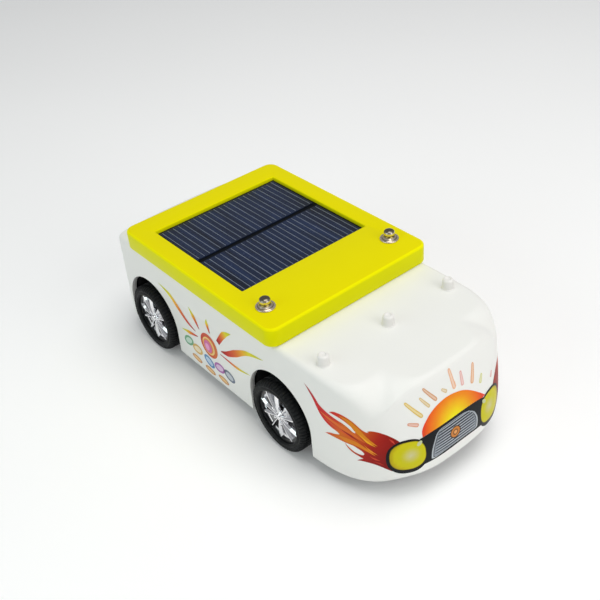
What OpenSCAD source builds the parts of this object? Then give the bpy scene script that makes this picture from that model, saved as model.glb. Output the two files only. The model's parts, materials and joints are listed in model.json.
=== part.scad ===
// Solar toy car kit: a white body shell on a black chassis, a yellow solar module
// that clips on two snap studs, and a small motor geared to the rear axle.
// Millimetres. +X forward, +Y left, +Z up. The origin is on the ground, under the
// middle of the car.

/* [Body] */
// Overall length, nose to tail
body_l = 155; // [152:1:162]
// Width across the flat sides
body_w = 68; // [67:0.5:69]
// Height of the flat deck and bonnet above the ground
deck_z = 44.4; // [43:0.2:46]
// Height of the bottom edge of the sides above the ground
sill_z = 6.2; // [5.8:0.1:7]
// Thickness of the moulded shell
wall = 2; // [1.6:0.1:2.2]
// Radius of the wheel arches
arch_r = 16.2; // [15.5:0.1:16.4]

/* [Running gear] */
// Distance between the axles
wheelbase = 78; // [76:1:80]
// Width over the tyres
track_w = 71.5; // [71:0.5:73]
// Outer diameter of the tyres
tyre_d = 27.5; // [26:0.5:28]
// Width of a tyre
tyre_w = 10; // [9:0.5:10]
// Diameter of both axles
axle_d = 2; // [1.5:0.1:2]

/* [Solar module] */
// Length of the module along the car
module_l = 88.8; // [86:0.1:90]
// Width of the module
module_w = 71.5; // [70:0.5:72]
// Height of the module without its studs
module_h = 7.2; // [7.2:0.1:8]
// Length of the window over the cells
window_l = 54; // [50:1:54]
// Width of the window over the cells
window_w = 56.2; // [50:0.2:57]
// Depth of the window down to the board
window_depth = 1.6; // [1.4:0.1:1.8]

/* [Snap fittings] */
// Pitch of the snap grid: half the distance between the studs, and studs to pegs
snap_pitch = 28; // [27.5:0.5:28]
// Position of the studs along the car
snap_x = 16.8; // [16:0.1:17.5]
// Diameter of a stud's head
stud_d = 3.9; // [3.7:0.1:4]
// Diameter of a stud's flange
flange_d = 6.9; // [6.5:0.1:7]
// Height of a stud above the module
stud_h = 3.65; // [3.5:0.05:3.8]
// Diameter of a bonnet peg
peg_d = 3.9; // [3.7:0.1:4.2]
// Height of a bonnet peg above the bonnet
peg_h = 3.8; // [3:0.1:4.5]

/* [Motor] */
// Width of the motor can across its round sides
motor_w = 20.1; // [19.5:0.1:20.1]
// Thickness of the motor can across its flats
motor_t = 15.1; // [14.5:0.1:15.1]

/* [Hidden] */
$fn = 48;

// Allowances
running_gap = 0.05;   // radial, shaft in bush
part_gap = 0.1;       // between parts that only rest on each other
cut = 1;              // how far a cutter reaches past what it cuts

// Places along the car
rear_x = -51.5;
front_x = rear_x + wheelbase;
axle_z = tyre_d / 2;
peg_x = snap_x + snap_pitch;
sides = [-1, 1];

// Body plan: an oval nose, straight sides and a squarer oval tail
half_w = body_w / 2;
nose_a = 46;
nose_e = [2.9, 3.7];  // how square the oval is at the sill and at the deck
nose_x = body_l / 2 - nose_a;
tail_a = 13;
tail_e = [3.6, 3.6];
tail_x = tail_a - body_l / 2;
nose_steps = 40;
nose_bunch = 0.6;
tail_steps = 20;
tail_bunch = 0.75;

// Body sections: how far the skin leans in from the widest level
nose_wide_low = 13;   // the nose is widest between these two heights
nose_wide_high = 15;
nose_lean_low = 3.8;  // lean at the sill
nose_lean_high = 6;   // lean at the bonnet
tail_lean = 2.2;      // lean of the tail at the deck
tail_wide = 18;       // the tail is upright up to this height
lean_power = 1.7;
rim_crisp = 2;        // edge radii: bonnet front, bonnet corners, sides, tail
rim_corner = 11;
rim_side = 2;
rim_tail = 5.5;
crease = 37;          // the bonnet's front edge starts its bend this steep, with a crease
wall_levels = [0, 0.12, 0.28, 0.46, 0.64, 0.82, 1];
edge_steps = 6;

// Chassis
plate_z = 5;
plate_t = 2.2;
plate_top = plate_z + plate_t;
plate_gap = 0.5;
arch_z = 15.4;
well_t = 1.4;
well_in = 20;         // inner face of the wheel wells
well_wall = 3;
well_out = 31;
boss_r = 3;
boss_h = 9;
boss_rear = [-66, 12];
boss_front = [56, 16];

// Screws: shank radius, head radius, head height
body_screw_r = 1.3;
body_head = [2.4, 1.4];
head_sink = 0.8;      // how deep the body screws' heads sit in the plate
small_screw_r = 1;
small_head = [1.9, 0.9];
slot_w = 0.5;

// Wheels
tyre_out = track_w / 2;
tyre_in = tyre_out - tyre_w;
core_r = 10.4;
core_t = 1.4;
cover_r = 10.8;
cover_seat = tyre_out - 1.1;  // the cover's lip sits on the core here
cover_skirt = 0.6;
hub_r = 2.6;
hub_in = 24;
spokes = 5;
axle_end = 32.6;

// Bushes
bush_r = 2.5;
bush_flange_r = 3.4;
bush_flange_t = 0.6;

// Gears: tooth module, teeth, and the shape of the teeth
gear_m = 0.5;
gear_teeth = 36;
pinion_teeth = 9;
pressure_angle = 20;
addendum = 0.8;
dedendum = 1.25;
shift = 0.4;          // pinion teeth are thickened by this, gear teeth thinned
backlash = 0.1;
flank_steps = 4;
gear_y = [12, 15];
gear_hub_y = [11.2, 16.2];
gear_hub_r = 3;
pinion_y = [11.6, 15.6];
gear_slot_l = 20.6;   // slot in the plate under the gear
gear_slot_gap = 0.6;

// Motor: it lies ahead of the rear axle and a little above it, geared to it
gear_distance = gear_m * (gear_teeth + pinion_teeth) / 2;
motor_dx = 10.6;
motor_x = rear_x + motor_dx;
motor_dz = sqrt(gear_distance * gear_distance - motor_dx * motor_dx);
motor_z = axle_z + motor_dz;
mesh_angle = atan2(motor_dz, motor_dx);
can_y = [-10.5, 9.5];
can_t = 0.5;
cap_y = -15.3;
cap_t = 1.5;
boss_y = 11.2;
motor_boss_r = 3.08;
motor_bush_r = 2.4;
shaft_r = 1;
shaft_y = [-15, 15.9];
core_y = [-7, 4];
coil_over = 1.5;
commutator_r = 2.2;
commutator_y = [-13, -9];
terminal_dz = 6;
terminal_y = -18;
rib_t = 2;
rib_y = [-9, 4];
rib_x = [-49.9, -31.5];
rib_h = 11.8;
strap_y = [-6, 0];
strap_t = 1.4;
strap_foot_x = -24.5;
strap_foot_t = 2;
strap_screw = [-28, -3];

// Solar module
module_x = -60.3;     // rear edge
module_z = deck_z + part_gap;
module_top = module_z + module_h;
module_wall = 2;
module_corner = 4;
module_edge = 1;
window_x = module_x + 10.6;
board_z = module_top - window_depth;
board_t = 1.2;
board_lap = 1;
cell_t = 0.3;
cell_margin = 1;
cell_gap = 2.2;
cover_t = 1.8;
cover_gap = 0.15;
cover_top = module_z + cover_t;
socket_hole_r = 3.8;
post_r = 2.2;
posts = [[-54.6, 30.5], [22.5, 14]];
stud_neck_r = 1.6;
stud_shank_r = 1.3;
peg_shank_r = 1.5;
deck_flange_t = 0.7;
deck_stud_h = 3.6;
washer_t = 0.5;
washer_r = 3.4;

// Leads: points on their routes, from the motor or the board to the snap fittings
lead_r = 0.65;
lead_sides = 8;
lead_step = 3;
red_route = [
    [-40.9, -17.2, 24], [-40.9, -17.4, 26], [-37, -17, 33], [-24, -8, 39], [-6, 6, 40.4],
    [8, 18, 40.6], [13.4, 25, 41.1], [15.2, 26.6, 41.2]
];
black_route = [
    [-40.9, -17.2, 12], [-40.9, -17.4, 14], [-38, -18, 17], [-31, -18, 24], [-25, -17, 34],
    [-12, -18, 39.6], [4, -22, 40.6], [12.5, -26, 41.1], [15.2, -26.8, 41.2]
];
board_lead_r = 0.5;
board_lead_step = 1.5;
board_route = [[3, 9, 48.3], [7, 11, 48.2], [12, 17, 48], [14.6, 22, 47.9], [15.6, 24.7, 47.9]];

// ---------- general functions ----------

function smooth(a, b, x) =
    let (t = max(0, min(1, (x - a) / (b - a))))
    t * t * (3 - 2 * t);

function unit(v) = v / norm(v);

// ---------- body skin ----------

// An oval's shares of its half length and half width at a turn. It is an ellipse where
// e is 2, and squarer above that.
function oval(turn, e) = [
    sign(cos(turn)) * pow(abs(cos(turn)), 2 / e),
    sign(sin(turn)) * pow(abs(sin(turn)), 2 / e)
];

// Stations round the plan, anticlockwise from the right-hand end of the nose. Each holds
// the oval's middle, half length and squareness, its own turn round the oval,
// and the direction it faces: 0 is forward, 90 sideways, 180 back.
// bunch draws the stations of a squarer oval towards its ends, where it curves most.
function oval_stations(x, a, e, start, steps, bunch) = [
    for (i = [0 : steps])
        let (
            turn = start + 180 * i / steps - bunch * 90 / PI * sin(360 * i / steps),
            mean = (e[0] + e[1]) / 2,
            p = oval(turn, mean),
            nx = sign(p.x) * pow(abs(p.x), mean - 1) / a,
            ny = pow(abs(p.y), mean - 1) / half_w
        )
        [x, a, e, turn, atan2(ny, nx)]
];

stations = concat(
    oval_stations(nose_x, nose_a, nose_e, -90, nose_steps, nose_bunch),
    oval_stations(tail_x, tail_a, tail_e, 90, tail_steps, tail_bunch)
);
station_count = len(stations);

function facing(s) = s[4];

// A station's place on the plan at a height, moved in by inset
function placed(s, z, inset) =
    let (
        rise = (z - sill_z) / (deck_z - sill_z),
        p = oval(s[3], s[2][0] + (s[2][1] - s[2][0]) * rise)
    )
    [s[0] + (s[1] - inset) * p.x, (half_w - inset) * p.y];

function nose_lean(z) =
    nose_lean_low * pow(max(0, nose_wide_low - z) / (nose_wide_low - sill_z), lean_power)
    + nose_lean_high * pow(max(0, z - nose_wide_high) / (deck_z - nose_wide_high), lean_power);

function skin_lean(face, z) =
    (1 - smooth(20, 85, face)) * nose_lean(z)
    + smooth(92, 178, face) * tail_lean
    * pow(max(0, z - tail_wide) / (deck_z - tail_wide), 2);

function edge_radius(face) =
    rim_crisp
    + (rim_corner - rim_crisp) * smooth(5, 50, face)
    + (rim_side - rim_corner) * smooth(50, 89, face)
    + (rim_tail - rim_side) * smooth(90, 178, face);

// Where round the top edge's bend the wall meets it: 0 is without a crease
function edge_start(face) = crease * (1 - smooth(34, 71, face));

// A point of the skin: depth is 0 outside and the wall's thickness inside.
// Levels rise up the wall first, and then go round the top edge.
function skin_point(s, level, depth) =
    let (
        face = facing(s),
        r = max(0.4, edge_radius(face) - depth),
        top = deck_z - depth,
        foot = sill_z - (depth > 0 ? cut : 0),
        wall_last = len(wall_levels) - 1,
        start = edge_start(face),
        turn = start + (90 - start) * max(0, level - wall_last) / edge_steps,
        rise = wall_levels[min(level, wall_last)] * (top - r * (1 - sin(start)) - foot),
        z = foot + rise + r * (sin(turn) - sin(start)),
        p = placed(s, z, depth + skin_lean(face, z) + r * (cos(start) - cos(turn)))
    )
    [p.x, p.y, z];

module skin(depth) {
    levels = len(wall_levels) + edge_steps;
    points = [
        for (level = [0 : levels - 1]) for (s = stations) skin_point(s, level, depth)
    ];
    sides_faces = [
        for (level = [0 : levels - 2]) for (i = [0 : station_count - 1])
            let (
                j = (i + 1) % station_count,
                a = level * station_count,
                b = a + station_count
            )
            each [[a + i, b + i, b + j], [a + i, b + j, a + j]]
    ];
    bottom = [for (i = [0 : station_count - 1]) i];
    top = [for (i = [1 : station_count]) levels * station_count - i];
    polyhedron(points, concat(sides_faces, [bottom, top]), convexity = 6);
}

// Plan of the skin at a height, moved in by inset
function plan(z, inset) = [
    for (s = stations) placed(s, z, inset + skin_lean(facing(s), z))
];

// ---------- general shapes ----------

// A flat shape in X and Z, drawn out along Y
module along_y(y0, y1) {
    translate([0, y1, 0]) rotate([90, 0, 0]) linear_extrude(y1 - y0) children();
}

// A profile of radius and Y, turned about the Y axis
module turned_y() {
    rotate([-90, 0, 0]) rotate_extrude() children();
}

// Wheel arch outline in X and Z: a half circle on straight sides
module arch_outline(r, foot) {
    intersection() {
        translate([0, arch_z]) circle(r);
        translate([-r, arch_z]) square([2 * r, r]);
    }
    translate([-r, foot]) square([2 * r, arch_z - foot]);
}

module rounded_rect(l, w, r) {
    translate([-l / 2, -w / 2 + r]) square([l, w - 2 * r]);
    translate([-l / 2 + r, -w / 2]) square([l - 2 * r, w]);
    for (x = sides, y = sides) translate([x * (l / 2 - r), y * (w / 2 - r)]) circle(r);
}

module at_wheel(x, side) {
    translate([x, 0, axle_z]) mirror([0, side < 0 ? 1 : 0, 0]) children();
}

module at_bosses() {
    for (p = [boss_rear, boss_front], side = sides) translate([p.x, side * p.y, 0]) children();
}

module at_posts() {
    for (p = posts, side = sides) translate([p.x, side * p.y, 0]) children();
}

// A screw with its head at the bottom: z is the underside of the head
module screw(z, shank_r, head, length) {
    difference() {
        union() {
            translate([0, 0, z]) cylinder(r = head.x, h = head.y);
            translate([0, 0, z + head.y]) cylinder(r = shank_r, h = length);
        }
        for (turn = [0, 90]) rotate(turn)
            translate([-head.x * 0.7, -slot_w / 2, z - cut])
                cube([head.x * 1.4, slot_w, cut + head.y / 2]);
    }
}

// A tube along a smooth curve through the points of a route
function curve_point(p0, p1, p2, p3, t) =
    0.5 * ((2 * p1) + (p2 - p0) * t + (2 * p0 - 5 * p1 + 4 * p2 - p3) * t * t
    + (3 * p1 - p0 - 3 * p2 + p3) * t * t * t);

function curve(route, step) = [
    for (i = [0 : len(route) - 2])
        let (
            p0 = route[max(0, i - 1)],
            p1 = route[i],
            p2 = route[i + 1],
            p3 = route[min(len(route) - 1, i + 2)],
            n = max(1, round(norm(p2 - p1) / step))
        )
        for (k = [0 : n - (i == len(route) - 2 ? 0 : 1)]) curve_point(p0, p1, p2, p3, k / n)
];

module tube(route, r, step) {
    path = curve(route, step);
    last = len(path) - 1;
    points = [
        for (i = [0 : last])
            let (
                ahead = unit(path[min(last, i + 1)] - path[max(0, i - 1)]),
                across = unit(cross(ahead, [1, -1, 0])),
                up = cross(ahead, across)
            )
            for (k = [0 : lead_sides - 1])
                let (a = 360 * k / lead_sides)
                path[i] + r * (cos(a) * across + sin(a) * up)
    ];
    faces = [
        for (i = [0 : last - 1]) for (k = [0 : lead_sides - 1])
            let (
                j = (k + 1) % lead_sides,
                a = i * lead_sides,
                b = a + lead_sides
            )
            each [[a + k, b + k, b + j], [a + k, b + j, a + j]]
    ];
    start = [for (k = [0 : lead_sides - 1]) k];
    end = [for (k = [1 : lead_sides]) (last + 1) * lead_sides - k];
    polyhedron(points, concat(faces, [start, end]), convexity = 6);
}

// ---------- body ----------

module body_shell() {
    color("white") difference() {
        union() {
            difference() {
                skin(0);
                skin(wall);
                for (x = [rear_x, front_x]) translate([x, 0, 0])
                    along_y(-body_w, body_w) arch_outline(arch_r, 0);
            }
            at_bosses() translate([0, 0, plate_top + part_gap])
                cylinder(r = boss_r, h = deck_z - wall / 2 - plate_top - part_gap);
        }
        at_bosses() translate([0, 0, plate_top - cut])
            cylinder(r = body_screw_r, h = boss_h + cut);
        for (side = sides) translate([snap_x, side * snap_pitch, deck_z - wall - cut])
            cylinder(r = stud_shank_r + running_gap, h = wall + 2 * cut);
        for (y = [-1 : 1]) translate([peg_x, y * snap_pitch, deck_z - wall - cut])
            cylinder(r = peg_shank_r, h = wall + 2 * cut);
    }
}

// Pegs pressed through the bonnet, each held by a collar underneath
module hood_pegs() {
    peg_r = peg_d / 2;
    chamfer = 0.5;
    collar_r = 2.4;
    foot = -wall - 0.8;
    color("whitesmoke") for (y = [-1 : 1]) translate([peg_x, y * snap_pitch, deck_z])
        rotate_extrude() polygon([
            [0, foot], [collar_r, foot], [collar_r, -wall], [peg_shank_r, -wall],
            [peg_shank_r, 0], [peg_r, 0], [peg_r, peg_h - chamfer],
            [peg_r - chamfer, peg_h], [0, peg_h]
        ]);
}

module deck_snap_studs() {
    head = stud_d / 2;
    color("silver") for (side = sides) translate([snap_x, side * snap_pitch, deck_z])
        rotate_extrude() polygon([
            [0, -wall - washer_t], [stud_shank_r, -wall - washer_t], [stud_shank_r, 0],
            [flange_d / 2, 0], [flange_d / 2, deck_flange_t], [stud_neck_r, deck_flange_t],
            [stud_neck_r, 1.4], [head, 1.7], [head, deck_stud_h - 0.6],
            [head - 0.6, deck_stud_h], [0, deck_stud_h]
        ]);
}

module contact_washers() {
    color("goldenrod") for (side = sides)
        translate([snap_x, side * snap_pitch, deck_z - wall - washer_t]) difference() {
            cylinder(r = washer_r, h = washer_t);
            translate([0, 0, -cut]) cylinder(r = stud_shank_r, h = washer_t + 2 * cut);
        }
}

// ---------- chassis ----------

module can_outline(gap) {
    intersection() {
        circle(motor_w / 2 + gap);
        square([motor_t + 2 * gap, motor_w + 2 * gap], center = true);
    }
}

module motor_cradle() {
    for (y = rib_y) translate([rib_x[0], y, plate_z])
        cube([rib_x[1] - rib_x[0], rib_t, plate_t + rib_h]);
}

module chassis_plate() {
    color("#202022") difference() {
        union() {
            translate([0, 0, plate_z]) linear_extrude(plate_t)
                polygon(plan(sill_z, wall + plate_gap));
            for (x = [rear_x, front_x], side = sides) translate([x, 0, 0])
                mirror([0, side < 0 ? 1 : 0, 0]) along_y(well_in, well_out)
                    arch_outline(arch_r + well_t, plate_z);
            motor_cradle();
        }
        for (x = [rear_x, front_x], side = sides) translate([x, 0, 0])
            mirror([0, side < 0 ? 1 : 0, 0]) {
                along_y(well_in + well_wall, body_w) arch_outline(arch_r, 0);
                along_y(well_in - cut, well_in + well_wall + cut)
                    translate([0, axle_z]) circle(bush_r);
            }
        translate([motor_x, 0, motor_z]) along_y(can_y[0], can_y[1]) can_outline(part_gap);
        translate([rear_x - gear_slot_l / 2, gear_hub_y[0] - gear_slot_gap, plate_z - cut])
            cube([gear_slot_l, gear_hub_y[1] - gear_hub_y[0] + 2 * gear_slot_gap,
                plate_t + 2 * cut]);
        at_bosses() {
            translate([0, 0, plate_z - cut])
                cylinder(r = body_screw_r + 2 * part_gap, h = plate_t + 2 * cut);
            translate([0, 0, plate_z - cut])
                cylinder(r = body_head.x + 3 * part_gap, h = cut + head_sink);
        }
        translate([strap_screw.x, strap_screw.y, plate_z - cut])
            cylinder(r = small_screw_r, h = plate_t + 2 * cut);
    }
}

module chassis_screws() {
    color("silver") at_bosses()
        screw(plate_z + head_sink - body_head.y, body_screw_r, body_head, boss_h - 1);
}

module bush(x, side) {
    color("goldenrod") at_wheel(x, side) turned_y() polygon([
        [axle_d / 2 + running_gap, well_in - bush_flange_t],
        [bush_flange_r, well_in - bush_flange_t], [bush_flange_r, well_in],
        [bush_r, well_in], [bush_r, well_in + well_wall + 0.2],
        [axle_d / 2 + running_gap, well_in + well_wall + 0.2]
    ]);
}

// ---------- motor, fixed parts ----------

module at_motor() {
    translate([motor_x, 0, motor_z]) children();
}

module motor_can() {
    color("silver") at_motor() difference() {
        union() {
            along_y(can_y[0], can_y[1]) can_outline(0);
            along_y(can_y[1] - can_t, boss_y) circle(motor_boss_r);
        }
        along_y(can_y[0] - cut, can_y[1] - can_t) can_outline(-can_t);
        along_y(can_y[1] - cut, boss_y + cut) circle(motor_bush_r);
    }
}

module motor_end_cap() {
    color("ivory") at_motor() difference() {
        along_y(cap_y, can_y[0]) can_outline(0);
        along_y(cap_y + cap_t, can_y[0] + cut) can_outline(-cap_t);
        along_y(cap_y - cut, cap_y + cap_t + cut) circle(shaft_r + running_gap);
    }
}

module motor_magnets() {
    outer = motor_w / 2 - can_t;
    magnet_t = 2.4;
    magnet_w = 11;
    color("dimgray") at_motor() for (side = sides) along_y(core_y[0] - 1, core_y[1] + 1)
        intersection() {
            difference() {
                circle(outer);
                circle(outer - magnet_t);
            }
            translate([-magnet_w / 2, side > 0 ? 0 : -outer]) square([magnet_w, outer]);
        }
}

module motor_bush() {
    color("goldenrod") at_motor() difference() {
        along_y(can_y[1] - can_t - 0.4, boss_y) circle(motor_bush_r);
        along_y(can_y[1] - 2 * cut, boss_y + cut) circle(shaft_r + running_gap);
    }
}

// Two spring strips that press on the commutator from above and below
module motor_brushes() {
    strip_t = 0.25;
    color("goldenrod") at_motor() for (side = sides)
        along_y(commutator_y[0] + 0.6, commutator_y[0] + 2.6)
            translate([-4, side * (commutator_r + 0.05 + strip_t / 2) - strip_t / 2])
                square([8, strip_t]);
}

module motor_terminals() {
    tab_w = 2.4;
    tab_t = 0.4;
    color("goldenrod") at_motor() for (side = sides)
        translate([-tab_w / 2, terminal_y, side * terminal_dz - tab_t / 2])
            cube([tab_w, cap_y - terminal_y, tab_t]);
}

// Strap over the can: it hooks down behind the motor and is screwed down in front
module motor_clamp() {
    top = motor_z + motor_w / 2 + part_gap;
    back = motor_x - motor_t / 2 - part_gap;
    front = motor_x + motor_t / 2 + part_gap;
    hook_z = plate_top + 5;
    color("#303033") difference() {
        along_y(strap_y[0], strap_y[1]) polygon([
            [back - strap_t, hook_z], [back - strap_t, top + strap_t],
            [front + strap_t, top + strap_t], [front + strap_t, plate_top + strap_foot_t],
            [strap_foot_x, plate_top + strap_foot_t], [strap_foot_x, plate_top],
            [front, plate_top], [front, top], [back, top], [back, hook_z]
        ]);
        translate([strap_screw.x, strap_screw.y, plate_top - cut])
            cylinder(r = small_screw_r, h = strap_foot_t + 2 * cut);
    }
}

module motor_clamp_screw() {
    head_top = plate_top + strap_foot_t + small_head.y;
    color("silver") translate([strap_screw.x, strap_screw.y, 0]) rotate([180, 0, 0])
        screw(-head_top, small_screw_r, small_head, plate_t + strap_foot_t - 0.2);
}

module wire_red() {
    color("red") tube(red_route, lead_r, lead_step);
}

module wire_black() {
    color("#181818") tube(black_route, lead_r, lead_step);
}

// ---------- solar module ----------

module at_module(z) {
    translate([module_x + module_l / 2, 0, z]) children();
}

module at_window(z) {
    translate([window_x + window_l / 2, 0, z]) children();
}

// Rounded slab whose top edge is rounded over
module rounded_slab(l, w, h, corner, edge) {
    hull() for (x = sides, y = sides)
        translate([x * (l / 2 - corner), y * (w / 2 - corner), 0])
            rotate_extrude($fn = 32) polygon(concat(
                [[0, 0], [corner, 0]],
                [for (a = [0 : 22.5 : 90])
                    [corner - edge + edge * cos(a), h - edge + edge * sin(a)]],
                [[0, h]]
            ));
}

module module_frame() {
    color("gold") difference() {
        union() {
            difference() {
                at_module(module_z)
                    rounded_slab(module_l, module_w, module_h, module_corner, module_edge);
                at_module(module_z - cut) linear_extrude(board_z - module_z + cut)
                    rounded_rect(module_l - 2 * module_wall, module_w - 2 * module_wall,
                        module_corner - module_wall);
                at_window(board_z - cut) linear_extrude(window_depth + 2 * cut)
                    square([window_l, window_w], center = true);
            }
            at_posts() translate([0, 0, cover_top])
                cylinder(r = post_r, h = board_z - cover_top + window_depth / 2);
        }
        at_posts() translate([0, 0, cover_top - cut])
            cylinder(r = small_screw_r, h = cut + board_z - cover_top - 0.5);
        for (side = sides) translate([snap_x, side * snap_pitch, board_z - cut])
            cylinder(r = stud_shank_r + running_gap, h = window_depth + 2 * cut);
    }
}

module module_back_cover() {
    gap = 2 * (module_wall + cover_gap);
    color("gold") difference() {
        at_module(module_z) linear_extrude(cover_t)
            rounded_rect(module_l - gap, module_w - gap, module_corner - module_wall);
        for (side = sides) translate([snap_x, side * snap_pitch, module_z - cut])
            cylinder(r = socket_hole_r, h = cover_t + 2 * cut);
        at_posts() translate([0, 0, module_z - cut]) {
            cylinder(r = small_screw_r + part_gap, h = cover_t + 2 * cut);
            cylinder(r = small_head.x + 0.2, h = cut + small_head.y + part_gap);
        }
    }
}

module module_board() {
    color("#14181c") at_window(board_z - board_t) linear_extrude(board_t)
        square([window_l + 2 * board_lap, window_w + 2 * board_lap], center = true);
}

module solar_cell(side) {
    l = (window_l - 2 * cell_margin - cell_gap) / 2;
    w = window_w - 2 * cell_margin;
    color("#1c2c50") at_window(board_z)
        translate([side * (cell_gap + l) / 2 - l / 2, -w / 2, 0]) cube([l, w, cell_t]);
}

// Snap stud on the module: a domed flange, a neck and a round head
module terminal_stud(side) {
    head = stud_d / 2;
    color("silver") translate([snap_x, side * snap_pitch, module_top])
        rotate_extrude() polygon([
            [0, -window_depth - 1.5], [stud_shank_r, -window_depth - 1.5], [stud_shank_r, 0],
            [flange_d / 2, 0], [flange_d / 2, 0.35], [flange_d / 2 - 0.5, 0.7],
            [stud_neck_r + 0.5, 1], [stud_neck_r, 1.3], [stud_neck_r, 1.6], [head, 1.9],
            [head, stud_h - 0.6], [head - 0.2, stud_h - 0.2], [head - 0.7, stud_h], [0, stud_h]
        ]);
}

// Snap socket under the module, open downwards over the stud on the deck
module terminal_socket(side) {
    bore = stud_d / 2 + 0.25;
    foot = module_z + 0.8;
    roof = deck_z + deck_stud_h + 0.2;
    top = module_top - window_depth - 1.5;
    color("silver") translate([snap_x, side * snap_pitch, 0]) rotate_extrude() polygon([
        [0, roof], [bore, roof], [bore, foot], [socket_hole_r - 0.2, foot],
        [socket_hole_r - 0.2, cover_top + 0.1], [socket_hole_r + 0.8, cover_top + 0.1],
        [socket_hole_r + 0.8, cover_top + 0.7], [socket_hole_r - 0.4, cover_top + 0.7],
        [socket_hole_r - 0.4, top], [0, top]
    ]);
}

module module_screws() {
    color("silver") at_posts()
        screw(module_z + part_gap, small_screw_r, small_head, board_z - cover_top);
}

module module_lead(side) {
    mirror([0, side < 0 ? 1 : 0, 0]) tube(board_route, board_lead_r, board_lead_step);
}

// ---------- wheels ----------

module axle(x) {
    color("silver") translate([x, 0, axle_z]) along_y(-axle_end, axle_end) circle(axle_d / 2);
}

module tyre(x, side) {
    r = tyre_d / 2;
    groove = 0.5;
    mid = (tyre_in + tyre_out) / 2;
    color("#1a1a1a") at_wheel(x, side) turned_y() polygon([
        [core_r, tyre_in + 0.3], [core_r + 0.5, tyre_in], [r - 1.2, tyre_in],
        [r - 0.4, tyre_in + 0.5], [r, tyre_in + 1.4],
        [r, mid - 1.9], [r - groove, mid - 1.8], [r - groove, mid - 1.4], [r, mid - 1.3],
        [r, mid + 1.3], [r - groove, mid + 1.4], [r - groove, mid + 1.8], [r, mid + 1.9],
        [r, tyre_out - 1.4], [r - 0.4, tyre_out - 0.5], [r - 1.2, tyre_out],
        [cover_r + 0.1, tyre_out], [cover_r + 0.05, cover_seat], [core_r, cover_seat]
    ]);
}

// Wheel centre: a barrel for the tyre, a web and a hub pressed on the axle
module wheel_core(x, side) {
    inside = core_r - core_t;
    web_y = 29.6;
    web_t = 1.2;
    color("#26262a") at_wheel(x, side) turned_y() polygon([
        [axle_d / 2, hub_in], [hub_r, hub_in], [hub_r, web_y], [inside, web_y],
        [inside, tyre_in + 0.3], [core_r, tyre_in + 0.3], [core_r, cover_seat],
        [inside, cover_seat], [inside, web_y + web_t], [hub_r, web_y + web_t],
        [hub_r, axle_end - 0.8], [axle_d / 2, axle_end - 0.8]
    ]);
}

// One spoke: a wedge with a slot down its middle, drawn along +X
module spoke(inner, outer) {
    difference() {
        polygon([[inner, -1], [outer, -2.7], [outer, 2.7], [inner, 1]]);
        polygon([[inner + 2.4, -0.15], [outer - 0.5, -1.1], [outer - 0.5, 1.1],
            [inner + 2.4, 0.15]]);
    }
}

module wheel_cover(x, side) {
    inside = core_r - core_t;
    face = [cover_seat - 1.6, cover_seat - 0.2];
    first = 38;
    color("gainsboro") at_wheel(x, side) {
        turned_y() polygon([
            [inside - cover_skirt, face[0] - 0.8], [inside, face[0] - 0.8],
            [inside, cover_seat], [cover_r, cover_seat], [cover_r, tyre_out - 0.5],
            [cover_r - 0.5, tyre_out - 0.2], [inside + 0.2, tyre_out - 0.5],
            [inside - cover_skirt, face[1]]
        ]);
        along_y(face[0], face[1]) for (k = [0 : spokes - 1])
            rotate(first + k * 360 / spokes) spoke(hub_r - 1, inside - cover_skirt * 3 / 4);
        turned_y() polygon([
            [0, axle_end + part_gap], [hub_r, axle_end + part_gap], [hub_r, face[1] + 0.4],
            [hub_r - 0.6, face[1] + 0.9], [0, face[1] + 1]
        ]);
    }
}

// ---------- gears ----------

// Involute function, in degrees
function involute(a) = tan(a) * 180 / PI - a;

function half_tooth(z, x, r) =
    let (
        pitch_r = gear_m * z / 2,
        thick = gear_m * (PI / 2 + 2 * x * tan(pressure_angle)) - backlash,
        a = acos(min(1, pitch_r * cos(pressure_angle) / r))
    )
    thick / (2 * pitch_r) * 180 / PI + involute(pressure_angle) - involute(a);

function gear_outline(z, x) =
    let (
        base_r = gear_m * z / 2 * cos(pressure_angle),
        tip_r = gear_m * (z / 2 + addendum + x),
        root_r = gear_m * (z / 2 - dedendum + x),
        rs = [for (i = [0 : flank_steps]) base_r + (tip_r - base_r) * i / flank_steps],
        up = [for (r = rs) [r, -half_tooth(z, x, r)]],
        down = [for (i = [flank_steps : -1 : 0]) [rs[i], half_tooth(z, x, rs[i])]],
        foot = half_tooth(z, x, base_r),
        tooth = concat([[root_r, -foot]], up, down, [[root_r, foot]])
    )
    [for (k = [0 : z - 1]) for (p = tooth)
        p[0] * [cos(360 * k / z + p[1]), sin(360 * k / z + p[1])]];

module drive_gear() {
    color("ivory") translate([rear_x, 0, axle_z]) difference() {
        union() {
            along_y(gear_y[0], gear_y[1]) rotate(mesh_angle + 180 / gear_teeth)
                polygon(gear_outline(gear_teeth, -shift));
            along_y(gear_hub_y[0], gear_hub_y[1]) circle(gear_hub_r);
        }
        along_y(gear_hub_y[0] - cut, gear_hub_y[1] + cut) circle(axle_d / 2);
    }
}

module motor_pinion() {
    color("goldenrod") at_motor() difference() {
        along_y(pinion_y[0], pinion_y[1]) rotate(mesh_angle + 180)
            polygon(gear_outline(pinion_teeth, shift));
        along_y(pinion_y[0] - cut, pinion_y[1] + cut) circle(shaft_r);
    }
}

// ---------- motor, turning parts ----------

pole_neck = 1.8;
pole_r = [2.4, 5, 6.7];

module pole_outline() {
    for (k = [0 : 2]) rotate(90 + 120 * k) {
        translate([0, -pole_neck / 2]) square([pole_r[1] + 0.4, pole_neck]);
        intersection() {
            difference() {
                circle(pole_r[2]);
                circle(pole_r[1]);
            }
            polygon([[0, 0], [12, -11], [12, 11]]);
        }
    }
    circle(pole_r[0]);
}

module motor_shaft() {
    color("silver") at_motor() along_y(shaft_y[0], shaft_y[1]) circle(shaft_r);
}

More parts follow.
